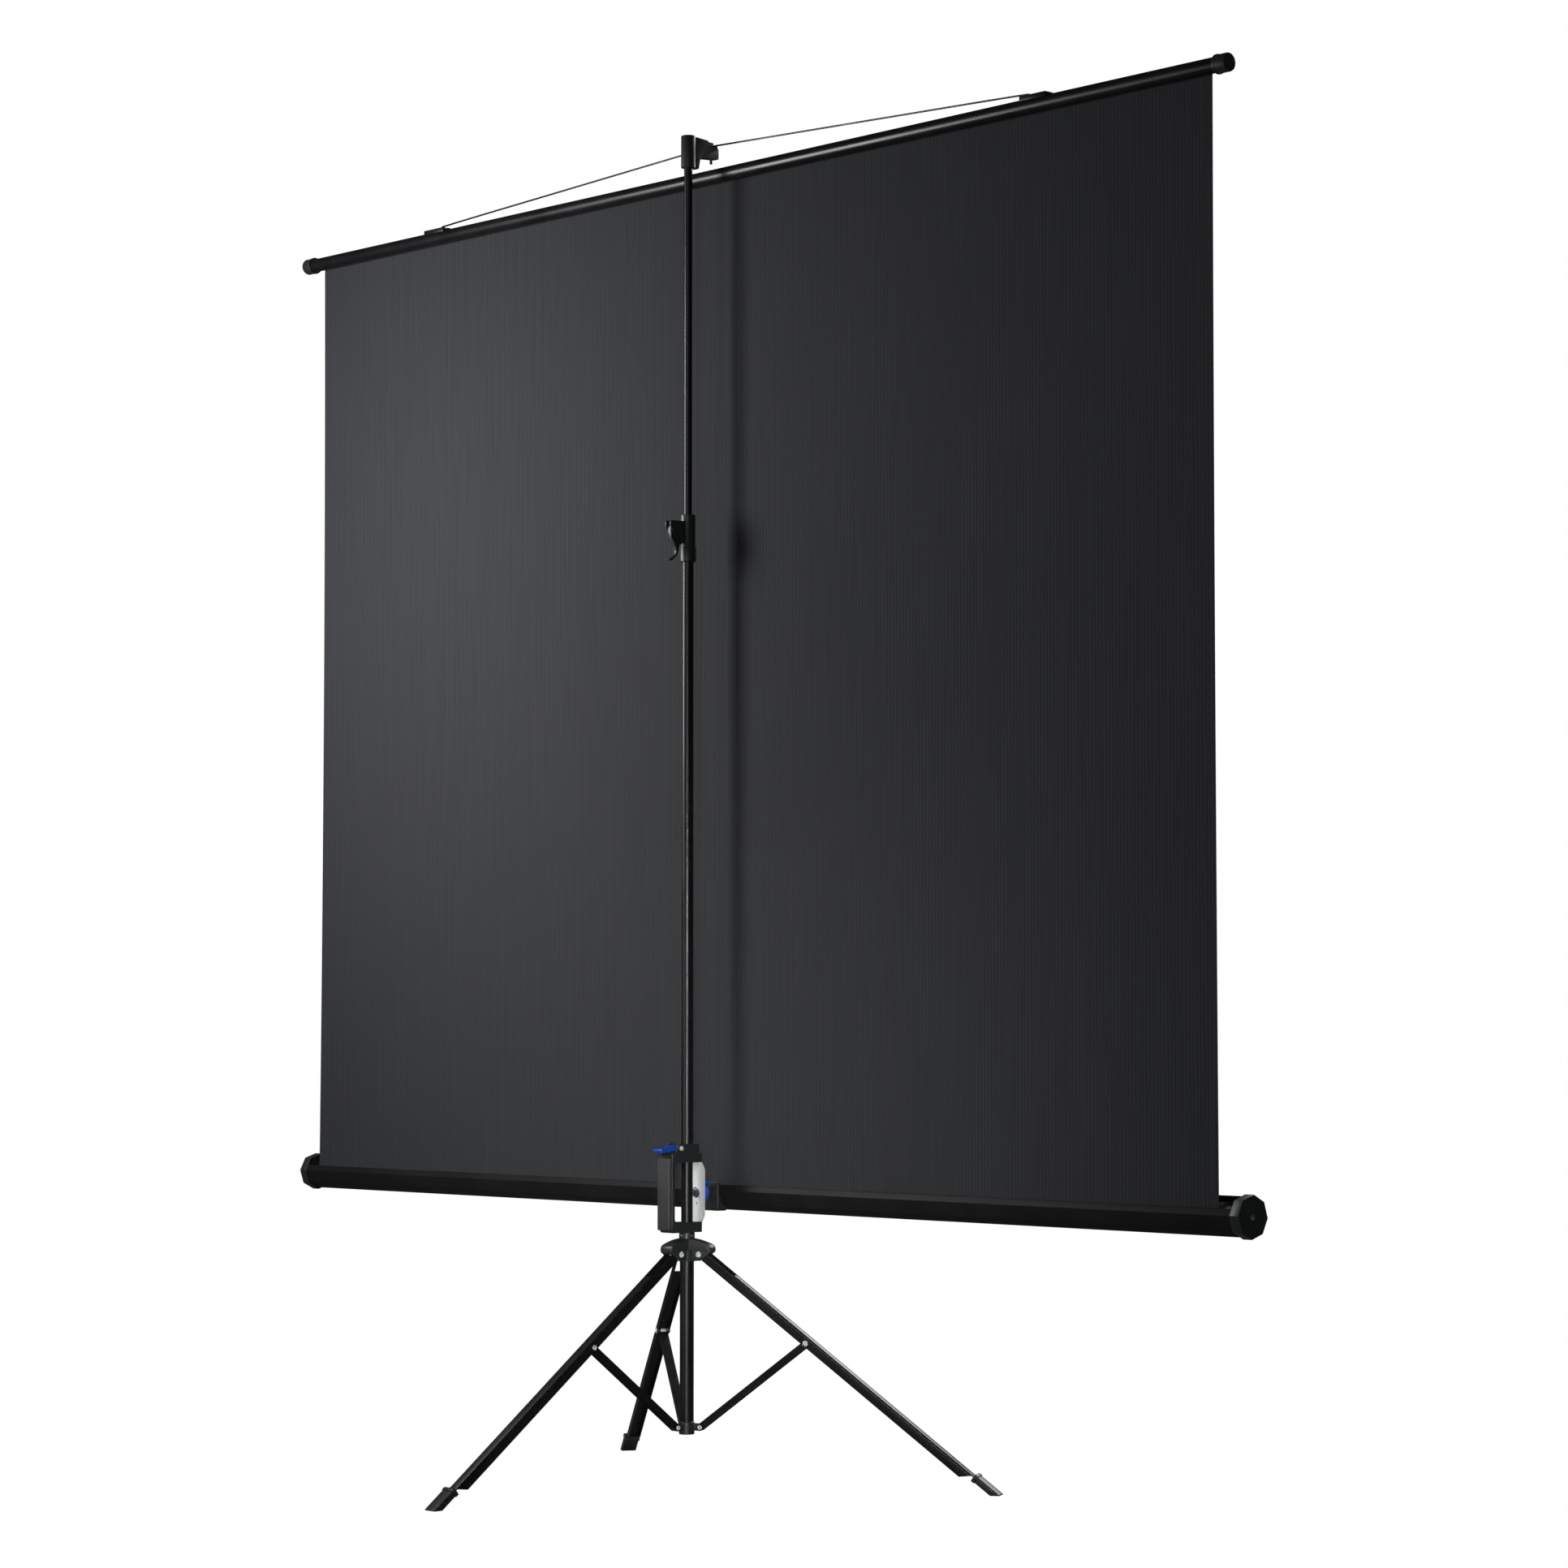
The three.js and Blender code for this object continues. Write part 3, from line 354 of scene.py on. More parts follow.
class Shop:
    """Modelling moves, in millimetres round the foot of the mast axis."""

    def __init__(self) -> None:
        """Find the mast axis in the frame."""
        low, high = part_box("lower_mast")
        self.origin = Vector(((low.x + high.x) / 2, (low.y + high.y) / 2, 0.0))

    def world(self, axes: Matrix) -> Matrix:
        """Turn axes in millimetres round the mast into the frame's metres."""
        return Matrix.Translation(self.origin) @ Matrix.Scale(MM, 4) @ axes

    @staticmethod
    def side(x: float = 0.0, y: float = 0.0, z: float = 0.0) -> Matrix:
        """Axes at a point whose first two run along Y and Z, and the third along X."""
        return Matrix(((0, 0, 1, x), (1, 0, 0, y), (0, 1, 0, z), (0, 0, 0, 1)))

    @staticmethod
    def outward(side: Side, x: float, y: float, z: float) -> Matrix:
        """Axes of a turned piece that points out along X at one end."""
        axes = Shop.side(side.value * x, y, z)
        return axes if side is Side.RIGHT else axes @ Matrix.Rotation(math.pi, 4, "X")

    @staticmethod
    def rear(y: float = 0.0, z: float = 0.0) -> Matrix:
        """Axes of an outline in the XZ plane that is drawn out along +Y from y."""
        return Matrix(((-1, 0, 0, 0), (0, 0, 1, y), (0, 1, 0, z), (0, 0, 0, 1)))

    @staticmethod
    def lift(z: float) -> Matrix:
        """Axes on the mast axis at a height."""
        return Matrix.Translation((0, 0, z))

    @staticmethod
    def tilted(y: float, z: float, angle: float) -> Matrix:
        """Axes at a pivot on the rear spoke, with +Z leaning by an angle in degrees."""
        return Matrix.Translation((0, y, z)) @ Matrix.Rotation(math.radians(angle), 4, "X")

    @staticmethod
    def begin() -> None:
        """Leave nothing selected."""
        if bpy.context.object and bpy.context.object.mode != "OBJECT":
            bpy.ops.object.mode_set(mode="OBJECT")
        bpy.ops.object.select_all(action="DESELECT")

    def pick(self, piece: Piece) -> None:
        """Select one piece and make it active.

        Args:
            piece: The piece.
        """
        self.begin()
        piece.select_set(True)
        bpy.context.view_layer.objects.active = piece

    def apply(self, piece: Piece, modifier: bpy.types.Modifier) -> None:
        """Apply a piece's modifier."""
        self.pick(piece)
        bpy.ops.object.modifier_apply(modifier=modifier.name)

    def clean(self, piece: Piece) -> None:
        """Merge doubles and face all faces out.

        Args:
            piece: The piece.
        """
        self.pick(piece)
        bpy.ops.object.mode_set(mode="EDIT")
        bpy.ops.mesh.select_all(action="SELECT")
        bpy.ops.mesh.remove_doubles(threshold=MERGE)
        bpy.ops.mesh.dissolve_degenerate(threshold=MERGE)
        bpy.ops.mesh.normals_make_consistent(inside=False)
        bpy.ops.object.mode_set(mode="OBJECT")

    def prism(self, outline: Outline, depth: float, axes: Matrix, name: str = "tool") -> Piece:
        """Draw a closed outline out along the third axis.

        Args:
            outline: Corners in the first two axes, in millimetres.
            depth: Length along the third axis.
            axes: Where the outline stands.
            name: The piece's name.

        Returns:
            The new piece.
        """
        self.begin()
        bpy.ops.mesh.primitive_circle_add(vertices=len(outline), radius=1.0, fill_type="NGON")
        piece = bpy.context.object
        piece.name = name
        for vertex, (u, v) in zip(piece.data.vertices, outline):
            vertex.co = (u, v, 0.0)
        bpy.ops.object.mode_set(mode="EDIT")
        bpy.ops.mesh.select_all(action="SELECT")
        bpy.ops.mesh.extrude_region_move(TRANSFORM_OT_translate={"value": (0.0, 0.0, depth)})
        bpy.ops.object.mode_set(mode="OBJECT")
        piece.data.transform(self.world(axes))
        self.clean(piece)
        return piece

    def slab(self, outline: Outline, half: float, name: str = "tool", axes: Matrix | None = None) -> Piece:
        """Draw an outline in the YZ plane, of the mast or of axes, out to both sides along X."""
        return self.prism(outline, 2 * half, (axes or Matrix()) @ Shop.side(-half), name)

    def turned(self, profile: Outline, axes: Matrix, steps: int = 48, name: str = "tool") -> Piece:
        """Turn a closed profile of (radius, height) round the third axis.

        Args:
            profile: Corners, in millimetres.
            axes: Where the axis stands.
            steps: Steps of a full turn.
            name: The piece's name.

        Returns:
            The new piece.
        """
        self.begin()
        bpy.ops.mesh.primitive_circle_add(vertices=len(profile), radius=1.0, fill_type="NOTHING")
        piece = bpy.context.object
        piece.name = name
        for vertex, (radius, height) in zip(piece.data.vertices, profile):
            vertex.co = (radius, 0.0, height)
        screw = piece.modifiers.new("turn", "SCREW")
        screw.axis = "Z"
        screw.steps = screw.render_steps = steps
        screw.use_merge_vertices = True
        screw.merge_threshold = 0.001
        self.apply(piece, screw)
        piece.data.transform(self.world(axes))
        self.clean(piece)
        return piece

    def rod(self, radius: float, length: float, axes: Matrix, steps: int = 32) -> Piece:
        """Turn a plain round tool along the third axis and return it."""
        return self.turned([(0.0, 0.0), (radius, 0.0), (radius, length), (0.0, length)], axes, steps)

    def sweep(self, name: str, points: list[Point3], radius: float) -> Piece:
        """Draw a round wire along points.

        Args:
            name: The piece's name.
            points: Points in millimetres round the mast.
            radius: The wire's radius.

        Returns:
            The wire as a mesh.
        """
        self.begin()
        bpy.ops.curve.primitive_nurbs_path_add()
        piece = bpy.context.object
        piece.name = name
        spline = piece.data.splines[0]
        spline.points.add(len(points) - len(spline.points))
        for knot, point in zip(spline.points, points):
            knot.co = (*(self.world(Matrix()) @ Vector(point)), 1.0)
        spline.order_u = 3
        spline.use_endpoint_u = True
        spline.resolution_u = 6
        piece.data.bevel_depth = radius * MM
        piece.data.bevel_resolution = 4
        piece.data.use_fill_caps = True
        self.pick(piece)
        bpy.ops.object.convert(target="MESH")
        return bpy.context.object

    def bevel(self, piece: Piece, width: float, segments: int = 2, angle: float = 28.0) -> Piece:
        """Round a piece's edges.

        Args:
            piece: The piece.
            width: Width in millimetres.
            segments: Steps of the round.
            angle: Least edge angle in degrees.

        Returns:
            The same piece.
        """
        modifier = piece.modifiers.new("edges", "BEVEL")
        modifier.width = width * MM
        modifier.segments = segments
        modifier.limit_method = "ANGLE"
        modifier.angle_limit = math.radians(angle)
        modifier.use_clamp_overlap = True
        self.apply(piece, modifier)
        return piece

    def combine(self, piece: Piece, tool: Piece, operation: str) -> None:
        """Boolean a piece with a tool, which is used up.

        Args:
            piece: The piece that stays.
            tool: The other solid.
            operation: UNION, DIFFERENCE or INTERSECT.
        """
        modifier = piece.modifiers.new("combine", "BOOLEAN")
        modifier.operation = operation
        modifier.object = tool
        modifier.solver = "EXACT"
        self.apply(piece, modifier)
        bpy.data.objects.remove(tool, do_unlink=True)

    def add(self, piece: Piece, tool: Piece) -> None:
        """Fuse a tool into a piece."""
        self.combine(piece, tool, "UNION")

    def cut(self, piece: Piece, tool: Piece) -> None:
        """Cut a tool out of a piece."""
        self.combine(piece, tool, "DIFFERENCE")

    def copy(self, piece: Piece, name: str, turn: Matrix) -> Piece:
        """Copy a piece with its own mesh, turned round the mast axis.

        Args:
            piece: The piece to copy.
            name: The copy's name.
            turn: The turn round the mast.

        Returns:
            The copy.
        """
        self.pick(piece)
        bpy.ops.object.duplicate(linked=False)
        other = bpy.context.object
        other.name = name
        other.data.transform(Matrix.Translation(self.origin) @ turn @ Matrix.Translation(-self.origin))
        return other

    def smooth(self, piece: Piece, *materials: bpy.types.Material) -> None:
        """Shade a piece smooth up to an angle.

        Args:
            piece: The piece.
            materials: Its materials.
        """
        self.pick(piece)
        bpy.ops.object.shade_smooth_by_angle(angle=SMOOTH)
        piece.data.materials.clear()
        for material in materials:
            piece.data.materials.append(material)

    def dress(self, piece: Piece, finish: Finish, body: str, *nodes: str) -> None:
        """Give a piece its finish, its body and the nodes it stands for.

        Args:
            piece: The piece.
            finish: Its finish.
            body: The body it rides on.
            nodes: CAD nodes that it replaces.
        """
        self.smooth(piece, finish.material())
        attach(piece, body)
        if nodes:
            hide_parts(*nodes)
        LOG.info("%s rides on %s", piece.name, body)

    def rivet(self, name: str, half: float, shank: float, head: Point2, y: float, z: float,
              axes: Matrix | None = None) -> Piece:
        """Model a tubular rivet along X with rolled, dimpled heads.

        Args:
            name: The piece's name.
            half: Half the length between the heads.
            shank: Radius of the shank.
            head: Radius and height of a head.
            y: Place along Y.
            z: Place along Z.
            axes: Frame that y and z are in, if not the mast's own.

        Returns:
            The rivet.
        """
        wide, tall = head
        outer = half + tall
        right = [(shank, half), (wide, half), (wide, half + tall * 0.45), (wide * 0.82, outer),
                 (wide * 0.58, outer), (wide * 0.42, outer - tall * 0.55), (0.0, outer - tall * 0.6)]
        profile = [(r, -h) for r, h in reversed(right)] + right
        return self.turned(profile, (axes or Matrix()) @ Shop.side(0.0, y, z), 28, name)


def box_outline(u0: float, u1: float, v0: float, v1: float) -> Outline:
    """Corners of a rectangle."""
    return [(u0, v0), (u1, v0), (u1, v1), (u0, v1)]


def moved(outline: Outline, u: float, v: float) -> Outline:
    """Move an outline along its two axes."""
    return [(u + x, v + y) for x, y in outline]


def repaint(finish: Finish, *nodes: str) -> None:
    """Give CAD nodes that stay a finish.

    Args:
        finish: Their finish.
        nodes: The nodes' names.
    """
    for node in nodes:
        thing = bpy.data.objects[node]
        thing.data.materials.clear()
        thing.data.materials.append(finish.material())
        LOG.info("%s keeps its solid", node)


@dataclass
class Screen:
    """The cloth and its turns on the roller."""

    shop: Shop
    half: float = 1000.0
    y: float = -57.4
    low: float = 431.6
    high: float = 1964.5
    thick: float = 0.7
    bow_left: float = 1.0
    bow_right: float = 4.0
    columns: int = 100
    rows: int = 72
    roll: float = 19.2
    roller: float = 15.0
    layers: int = 8
    uneven: float = 0.8
    case_y: float = -77.4

    def build(self) -> None:
        """Model the cloth and the roll."""
        self.build_cloth()
        self.build_roll()

    def build_cloth(self) -> None:
        """Model the cloth as a taut sheet with drawn-in edges and faint waves."""
        shop = self.shop
        shop.begin()
        bpy.ops.mesh.primitive_grid_add(x_subdivisions=self.columns, y_subdivisions=self.rows, size=2.0)
        piece = bpy.context.object
        piece.name = "screen_cloth"
        move = shop.world(Matrix())
        for vertex in piece.data.vertices:
            u, v = vertex.co.x, (vertex.co.y + 1.0) / 2
            swell = 4.0 * v * (1.0 - v)
            bow = self.bow_right if u > 0 else self.bow_left
            x = u * self.half - bow * swell * u
            wave = 0.5 * math.sin(5.0 * u) + 0.3 * math.sin(11.0 * u + 0.7)
            y = self.y + wave * swell * 0.6
            vertex.co = move @ Vector((x, y, self.low + v * (self.high - self.low)))
        solid = piece.modifiers.new("thick", "SOLIDIFY")
        solid.thickness = self.thick * MM
        solid.offset = 0.0
        shop.apply(piece, solid)
        shop.clean(piece)
        shop.smooth(piece, ClothBack().material(), ClothFront().material())
        for face in piece.data.polygons:
            face.material_index = 1 if face.normal.y < -0.5 else 0
        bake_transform(piece)
        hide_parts("cloth")
        LOG.info("%s stretches from carrier to screen_top", piece.name)

    def build_roll(self) -> None:
        """Model the last turns of cloth on the roller, with stepped ends."""
        inner = self.roller + GAP
        ends = [(inner, -self.half)]
        for k in range(self.layers):
            x = -self.half + (self.uneven if k % 2 else 0.0)
            ends += [(inner + (self.roll - inner) * step / self.layers, x) for step in (k, k + 0.8)]
        profile = ends + [(r, -x) for r, x in reversed(ends)]
        piece = self.shop.turned(profile, Shop.side(0.0, self.case_y, self.low), 40, "cloth_roll")
        self.shop.dress(piece, ROLLED, "roller", "wound_cloth")


@dataclass
class RollerCase:
    """Eight-sided case, its end caps and the roller inside."""

    shop: Shop
    y: float = -77.4
    z: float = 431.6
    radius: float = 27.5
    wall: float = 1.6
    turn: float = 4.4
    lip: float = 11.0
    half: float = 1038.0
    cap_radius: float = 30.0
    cap_out: float = 1042.0
    cap_depth: float = 16.0
    cap_gap: float = 0.4
    cap_tool: float = 20.0

    def corner(self, angle: float, radius: float) -> Point2:
        """Corner of the outline at an angle in degrees, 0 to the rear."""
        turn = math.radians(angle + self.turn)
        return (self.y + radius * math.cos(turn), self.z + radius * math.sin(turn))

    def on_lip(self, radius: float, height: float) -> Point2:
        """Point of the upper rear facet.

        Args:
            radius: Radius of the outline.
            height: Height above the middle.

        Returns:
            The point.
        """
        (y0, z0), (y1, z1) = self.corner(0, radius), self.corner(45, radius)
        share = (self.z + height - z0) / (z1 - z0)
        return (y0 + share * (y1 - y0), self.z + height)

    def build(self) -> None:
        """Model the shell and caps and dress the roller."""
        inner = self.radius - self.wall / math.cos(math.pi / 8)
        angles = [0, -45, -90, -135, -180, -225, -270]
        shell = [self.on_lip(self.radius, self.lip)]
        shell += [self.corner(a, self.radius) for a in angles]
        shell += [self.corner(a, inner) for a in reversed(angles)]
        shell += [self.on_lip(inner, self.lip)]
        piece = self.shop.bevel(self.shop.slab(shell, self.half, "case_body"), 0.7, 3)
        self.shop.dress(piece, CASE_PAINT, "carrier", "case_shell")
        for side in Side:
            self.build_cap(side)
        repaint(ALUMINIUM, "roller_tube")
        repaint(STEEL, "roller_spring", "idle_pin", "spring_shaft")
        repaint(PLASTIC, "roller_plug_left", "roller_plug_right")

    def build_cap(self, side: Side) -> None:
        """Model one eight-sided end cap with a recessed end face and a screw.

        Args:
            side: Which end.
        """
        shop = self.shop
        sign = side.value

        def block(radius: float, start: float, depth: float, name: str = "tool") -> Piece:
            """Eight-sided block of a radius, from a start outwards."""
            outline = [self.corner(45 * k, radius) for k in range(8)]
            return shop.prism(outline, sign * depth, Shop.side(sign * start), name)

        cap = block(self.cap_radius, self.cap_out - self.cap_depth, self.cap_depth, f"case_end_{side.word}")
        mouth = self.half + self.cap_gap - self.cap_tool
        shop.cut(cap, block(self.radius + self.cap_gap, mouth, self.cap_tool))
        shop.cut(cap, block(self.cap_radius - 5.0, self.cap_out - 0.8, 3.0))
        shop.bevel(cap, 0.8, 3)
        dome = [(0.0, 0.0), (4.2, 0.0), (4.0, 0.9), (2.6, 1.5), (1.2, 1.6), (1.2, 0.9), (0.0, 0.9)]
        axes = Shop.outward(side, self.cap_out - 1.0, self.y, self.z)
        screw = shop.turned([(r, h * 0.55) for r, h in dome], axes, 24, f"case_end_screw_{side.word}")
        shop.dress(cap, PLASTIC, "carrier", f"case_cap_{side.word}")
        shop.dress(screw, STEEL, "carrier")


@dataclass
class TopBar:
    """Round bar, its end caps, the bail wire and its clips."""

    shop: Shop
    y: float = -49.3
    z: float = 1970.0
    radius: float = 11.0
    half: float = 1030.0
    steps: int = 72
    groove: Point2 = (48, 54)
    groove_deep: float = 0.7
    slot: Point2 = (-58.6, -56.2)
    cap_radius: float = 13.0
    cap_out: float = 1038.0
    cap_depth: float = 22.0
    bail_half: float = 668.0
    bail_low: float = 6.7
    bail_rise: float = 36.3
    wire: float = 1.4
    clip: float = 50.0
    clip_half: float = 8.0

    def build(self) -> None:
        """Model the bar and what is on it."""
        self.build_bar()
        for side in Side:
            self.build_cap(side)
            self.build_clip(side)
        self.build_bail()

    def build_bar(self) -> None:
        """Model the bar with a groove on its upper rear and the cloth slot below."""
        shop = self.shop
        low, high = self.groove
        outline: Outline = []
        for k in range(self.steps):
            angle = 2 * math.pi * k / self.steps
            radius = self.radius - (self.groove_deep if low <= 360.0 * k / self.steps <= high else 0.0)
            outline.append((self.y + radius * math.cos(angle), self.z + radius * math.sin(angle)))
        bar = shop.slab(outline, self.half, "bar_tube")
        slot = box_outline(*self.slot, self.z - self.radius - 1.0, self.z - 4.0)
        shop.cut(bar, shop.slab(slot, self.half + 2.0))
        shop.dress(bar, PAINT, "screen_top", "top_bar")

    def build_cap(self, side: Side) -> None:
        """Model one round end cap with a ridge at its mouth.

        Args:
            side: Which end.
        """
        r, deep, bore = self.cap_radius, self.cap_depth, self.radius + GAP
        profile = [(bore, 0.0), (r + 0.4, 0.0), (r + 0.8, 0.5), (r + 0.8, 3.4), (r + 0.3, 4.0), (r, 4.4),
                   (r, deep - 2.0), (r - 0.6, deep - 0.7), (r - 2.0, deep), (r - 4.0, deep),
                   (r - 4.6, deep - 0.8), (0.0, deep - 0.8), (0.0, deep - 7.7), (bore, deep - 7.7)]
        axes = Shop.outward(side, self.cap_out - deep, self.y, self.z)
        piece = self.shop.turned(profile, axes, 48, f"bar_end_{side.word}")
        self.shop.dress(piece, PLASTIC, "screen_top", f"bar_cap_{side.word}")

    def build_clip(self, side: Side) -> None:
        """Model one clip that holds an end of the bail on the bar.

        Args:
            side: Which end.
        """
        shop = self.shop
        sign = side.value
        start = self.bail_half - 13.0
        top = self.z + self.radius + 3.8
        outline = box_outline(self.y - self.clip_half, self.y + self.clip_half, self.z + 3, top)
        body = shop.prism(outline, sign * self.clip, Shop.side(sign * start), f"bail_holder_{side.word}")
        near = min(sign * start, sign * (start + self.clip)) - 2.0
        shop.cut(body, shop.rod(self.radius + GAP, self.clip + 4.0, Shop.side(near, self.y, self.z)))
        groove = box_outline(self.y - 1.8, self.y + 1.8, self.z, top + 5.0)
        shop.cut(body, shop.prism(groove, sign * 16.0, Shop.side(sign * (start - 1.0))))
        shop.bevel(body, 0.8, 3)
        shop.dress(body, PAINT, "screen_top", f"bail_clip_{side.word}")

    def build_bail(self) -> None:
        """Model the bail wire from clip to clip over the hook."""
        low, end, flat = self.z + self.radius, self.bail_half, self.bail_low
        half = [(end, 1.4), (end, 3.0), (end - 0.2, 5.6), (end - 3.0, 6.5), (end - 8.0, flat)]
        shares = (0.9, 0.7, 0.5, 0.3, 0.12, 0.03)
        half += [(end * f, flat + (self.bail_rise - flat) * (1 - f)) for f in shares]
        points = [(-x, self.y, low + h) for x, h in half]
        points.append((0.0, self.y, low + self.bail_rise))
        points += [(x, self.y, low + h) for x, h in reversed(half)]
        self.shop.dress(self.shop.sweep("bail_wire", points, self.wire), PAINT, "screen_top", "bail")


@dataclass
class Mast:
    """Telescoping mast, its latch and its hooked head."""

    shop: Shop
    upper: float = 6.35
    lower: float = 8.7
    base: float = 10.5
    wall: float = 1.2
    ease: float = 0.2
    foot: float = 870.0
    latch: float = 1378.0
    latch_top: float = 1449.0
    latch_in: float = 3.9
    latch_plate: float = 2.4
    lever_half: float = 3.5
    head: float = 1977.0
    head_tall: float = 49.0
    head_deep: float = 41.0
    head_radius: float = 11.0
    bar_y: float = -49.3
    wire: float = 2017.3
    hub: float = 341.0
    collar: float = 84.8
    socket: float = 11.75
    socket_top: float = 373.0

    def tube(self, name: str, radius: float, low: float, high: float) -> Piece:
        """Model a tube along the mast with eased ends.

        Args:
            name: The piece's name.
            radius: Outer radius.
            low: Lower end.
            high: Upper end.

        Returns:
            The tube.
        """
        inner, ease = radius - self.wall, self.ease
        profile = [(inner, low), (radius - ease, low), (radius, low + ease), (radius, high - ease),
                   (radius - ease, high), (inner, high)]
        return self.shop.turned(profile, Matrix(), 64, name)

    def build(self) -> None:
        """Model the tubes, the latch and the head."""
        for word, radius, low, high, body, node in (
                ("upper", self.upper, self.foot, self.head + self.head_deep, "screen_top", "upper_mast"),
                ("lower", self.lower, self.hub - 23.0, self.latch + 26.7, "base", "lower_mast"),
                ("base", self.base, self.collar + 8.3, self.hub + 22.0, "base", "base_tube")):
            self.shop.dress(self.tube(f"mast_{word}_tube", radius, low, high), PAINT, body, node)
        repaint(PLASTIC, "mast_bush")
        self.build_socket()
        self.build_latch()
        self.build_head()

    def build_socket(self) -> None:
        """Model the socket ring over the hub with its two screws."""
        shop = self.shop
        low, high, r, bore = self.hub + 23.3, self.socket_top, self.socket, self.lower + GAP
        profile = [(bore, low), (r, low), (r, high - 1.0), (r - 0.75, high), (bore, high)]
        shop.dress(shop.turned(profile, Matrix(), 48, "socket_ring"), PLASTIC, "base", "mast_socket")
        head = [(0.0, 0.0), (2.6, 0.0), (2.5, 0.7), (1.6, 1.1), (0.8, 1.1), (0.8, 0.6), (0.0, 0.6)]
        for node, turn in (("socket_screw_rear", -90.0), ("socket_screw_side", 0.0)):
            axes = Shop.outward(Side.LEFT, r + 0.15, 0.0, self.hub + 27.6)
            axes = Matrix.Rotation(math.radians(turn), 4, "Z") @ axes
            shop.dress(shop.turned(head, axes, 20, f"{node}_head"), STEEL, "base", node)

    def build_latch(self) -> None:
        """Model the latch collar, its cam lever and its pin."""
        shop = self.shop
        low, top, step = self.latch, self.latch_top, self.latch + 27.0
        wide, slim = self.lower + GAP, self.upper + GAP
        profile = [(wide, low), (12.0, low), (12.5, low + 0.6), (12.5, low + 21.0), (11.5, low + 23.0),
                   (11.5, top - 1.2), (10.6, top), (slim, top), (slim, step), (wide, step)]
        collar = shop.turned(profile, Matrix(), 56, "latch_sleeve")
        cheek = moved([(8.0, 25.6), (18.6, 28.8), (24.2, 31.8), (28.9, 35.5), (33.0, 40.2), (36.4, 45.5),
                       (39.0, 50.6), (40.2, 54.6), (40.0, 58.4), (38.4, 60), (8.0, 60.6)], 0, low)
        for start in (self.latch_in, -self.latch_in - self.latch_plate):
            side = shop.prism(cheek, self.latch_plate, Shop.side(start))
            shop.add(collar, shop.bevel(side, 0.7, 3))
        bore = [(0.0, low - 1.0), (wide, low - 1.0), (wide, step), (slim, step), (slim, top + 1.0),
                (0.0, top + 1.0)]
        shop.cut(collar, shop.turned(bore, Matrix(), 56))
        shop.dress(collar, PLASTIC, "base", "latch_collar", "latch_pin")
        arm = [(16, 50), (16.5, 38), (21.5, 14), (24, 8), (32, 1), (40, -1.5), (41, 0.5), (33, 4), (27, 9),
               (25.5, 14), (29, 24), (35.5, 34), (37.5, 46), (35, 56), (20, 56), (16, 53)]
        lever = shop.slab(moved(arm, 0, low), self.lever_half, "latch_cam_lever")
        shop.dress(shop.bevel(lever, 0.6), PLASTIC, "latch_lever_body", "latch_lever")

    def build_head(self) -> None:
        """Model the hooked head as one moulding with a peg below it."""
        shop = self.shop
        z, r, y, wire = self.head, self.head_radius, self.bar_y, self.wire
        top, groove, bore = z + self.head_tall, 2.1, self.upper + GAP
        profile = [(bore, z), (r - 0.5, z), (r, z + 0.5), (r, top - 1.2), (r - 0.4, top - 0.4),
                   (r - 1.2, top), (0.0, top), (0.0, z + 41.3), (bore, z + 41.3)]
        head = shop.turned(profile, Matrix(), 56, "mast_hook_head")
        hook = [(-8.6, z), (-16.5, z), (-19.5, z + 14), (-22, z + 17.5), (y - 7.5, z + 20), (y - 7.7, z + 34),
                (y - 4, wire + 0.4), (y - groove, wire + 0.6), (y - groove, wire - 1.8),
                (y + groove, wire - 1.8), (y + groove + 1.5, wire + 3.8), (-37, wire + 4), (-35, wire + 6),
                (-8.6, top - 0.5)]
        shop.add(head, shop.bevel(shop.slab(hook, 6.0), 0.8, 3))
        peg = [(0.0, z + 12), (1.6, z + 12), (2.2, z + 12.6), (2.2, z + 22), (0.0, z + 22)]
        shop.add(head, shop.turned(peg, Matrix.Translation((0.0, y + 3.3, 0.0)), 24))
        shop.dress(head, PLASTIC, "screen_top", "mast_head")


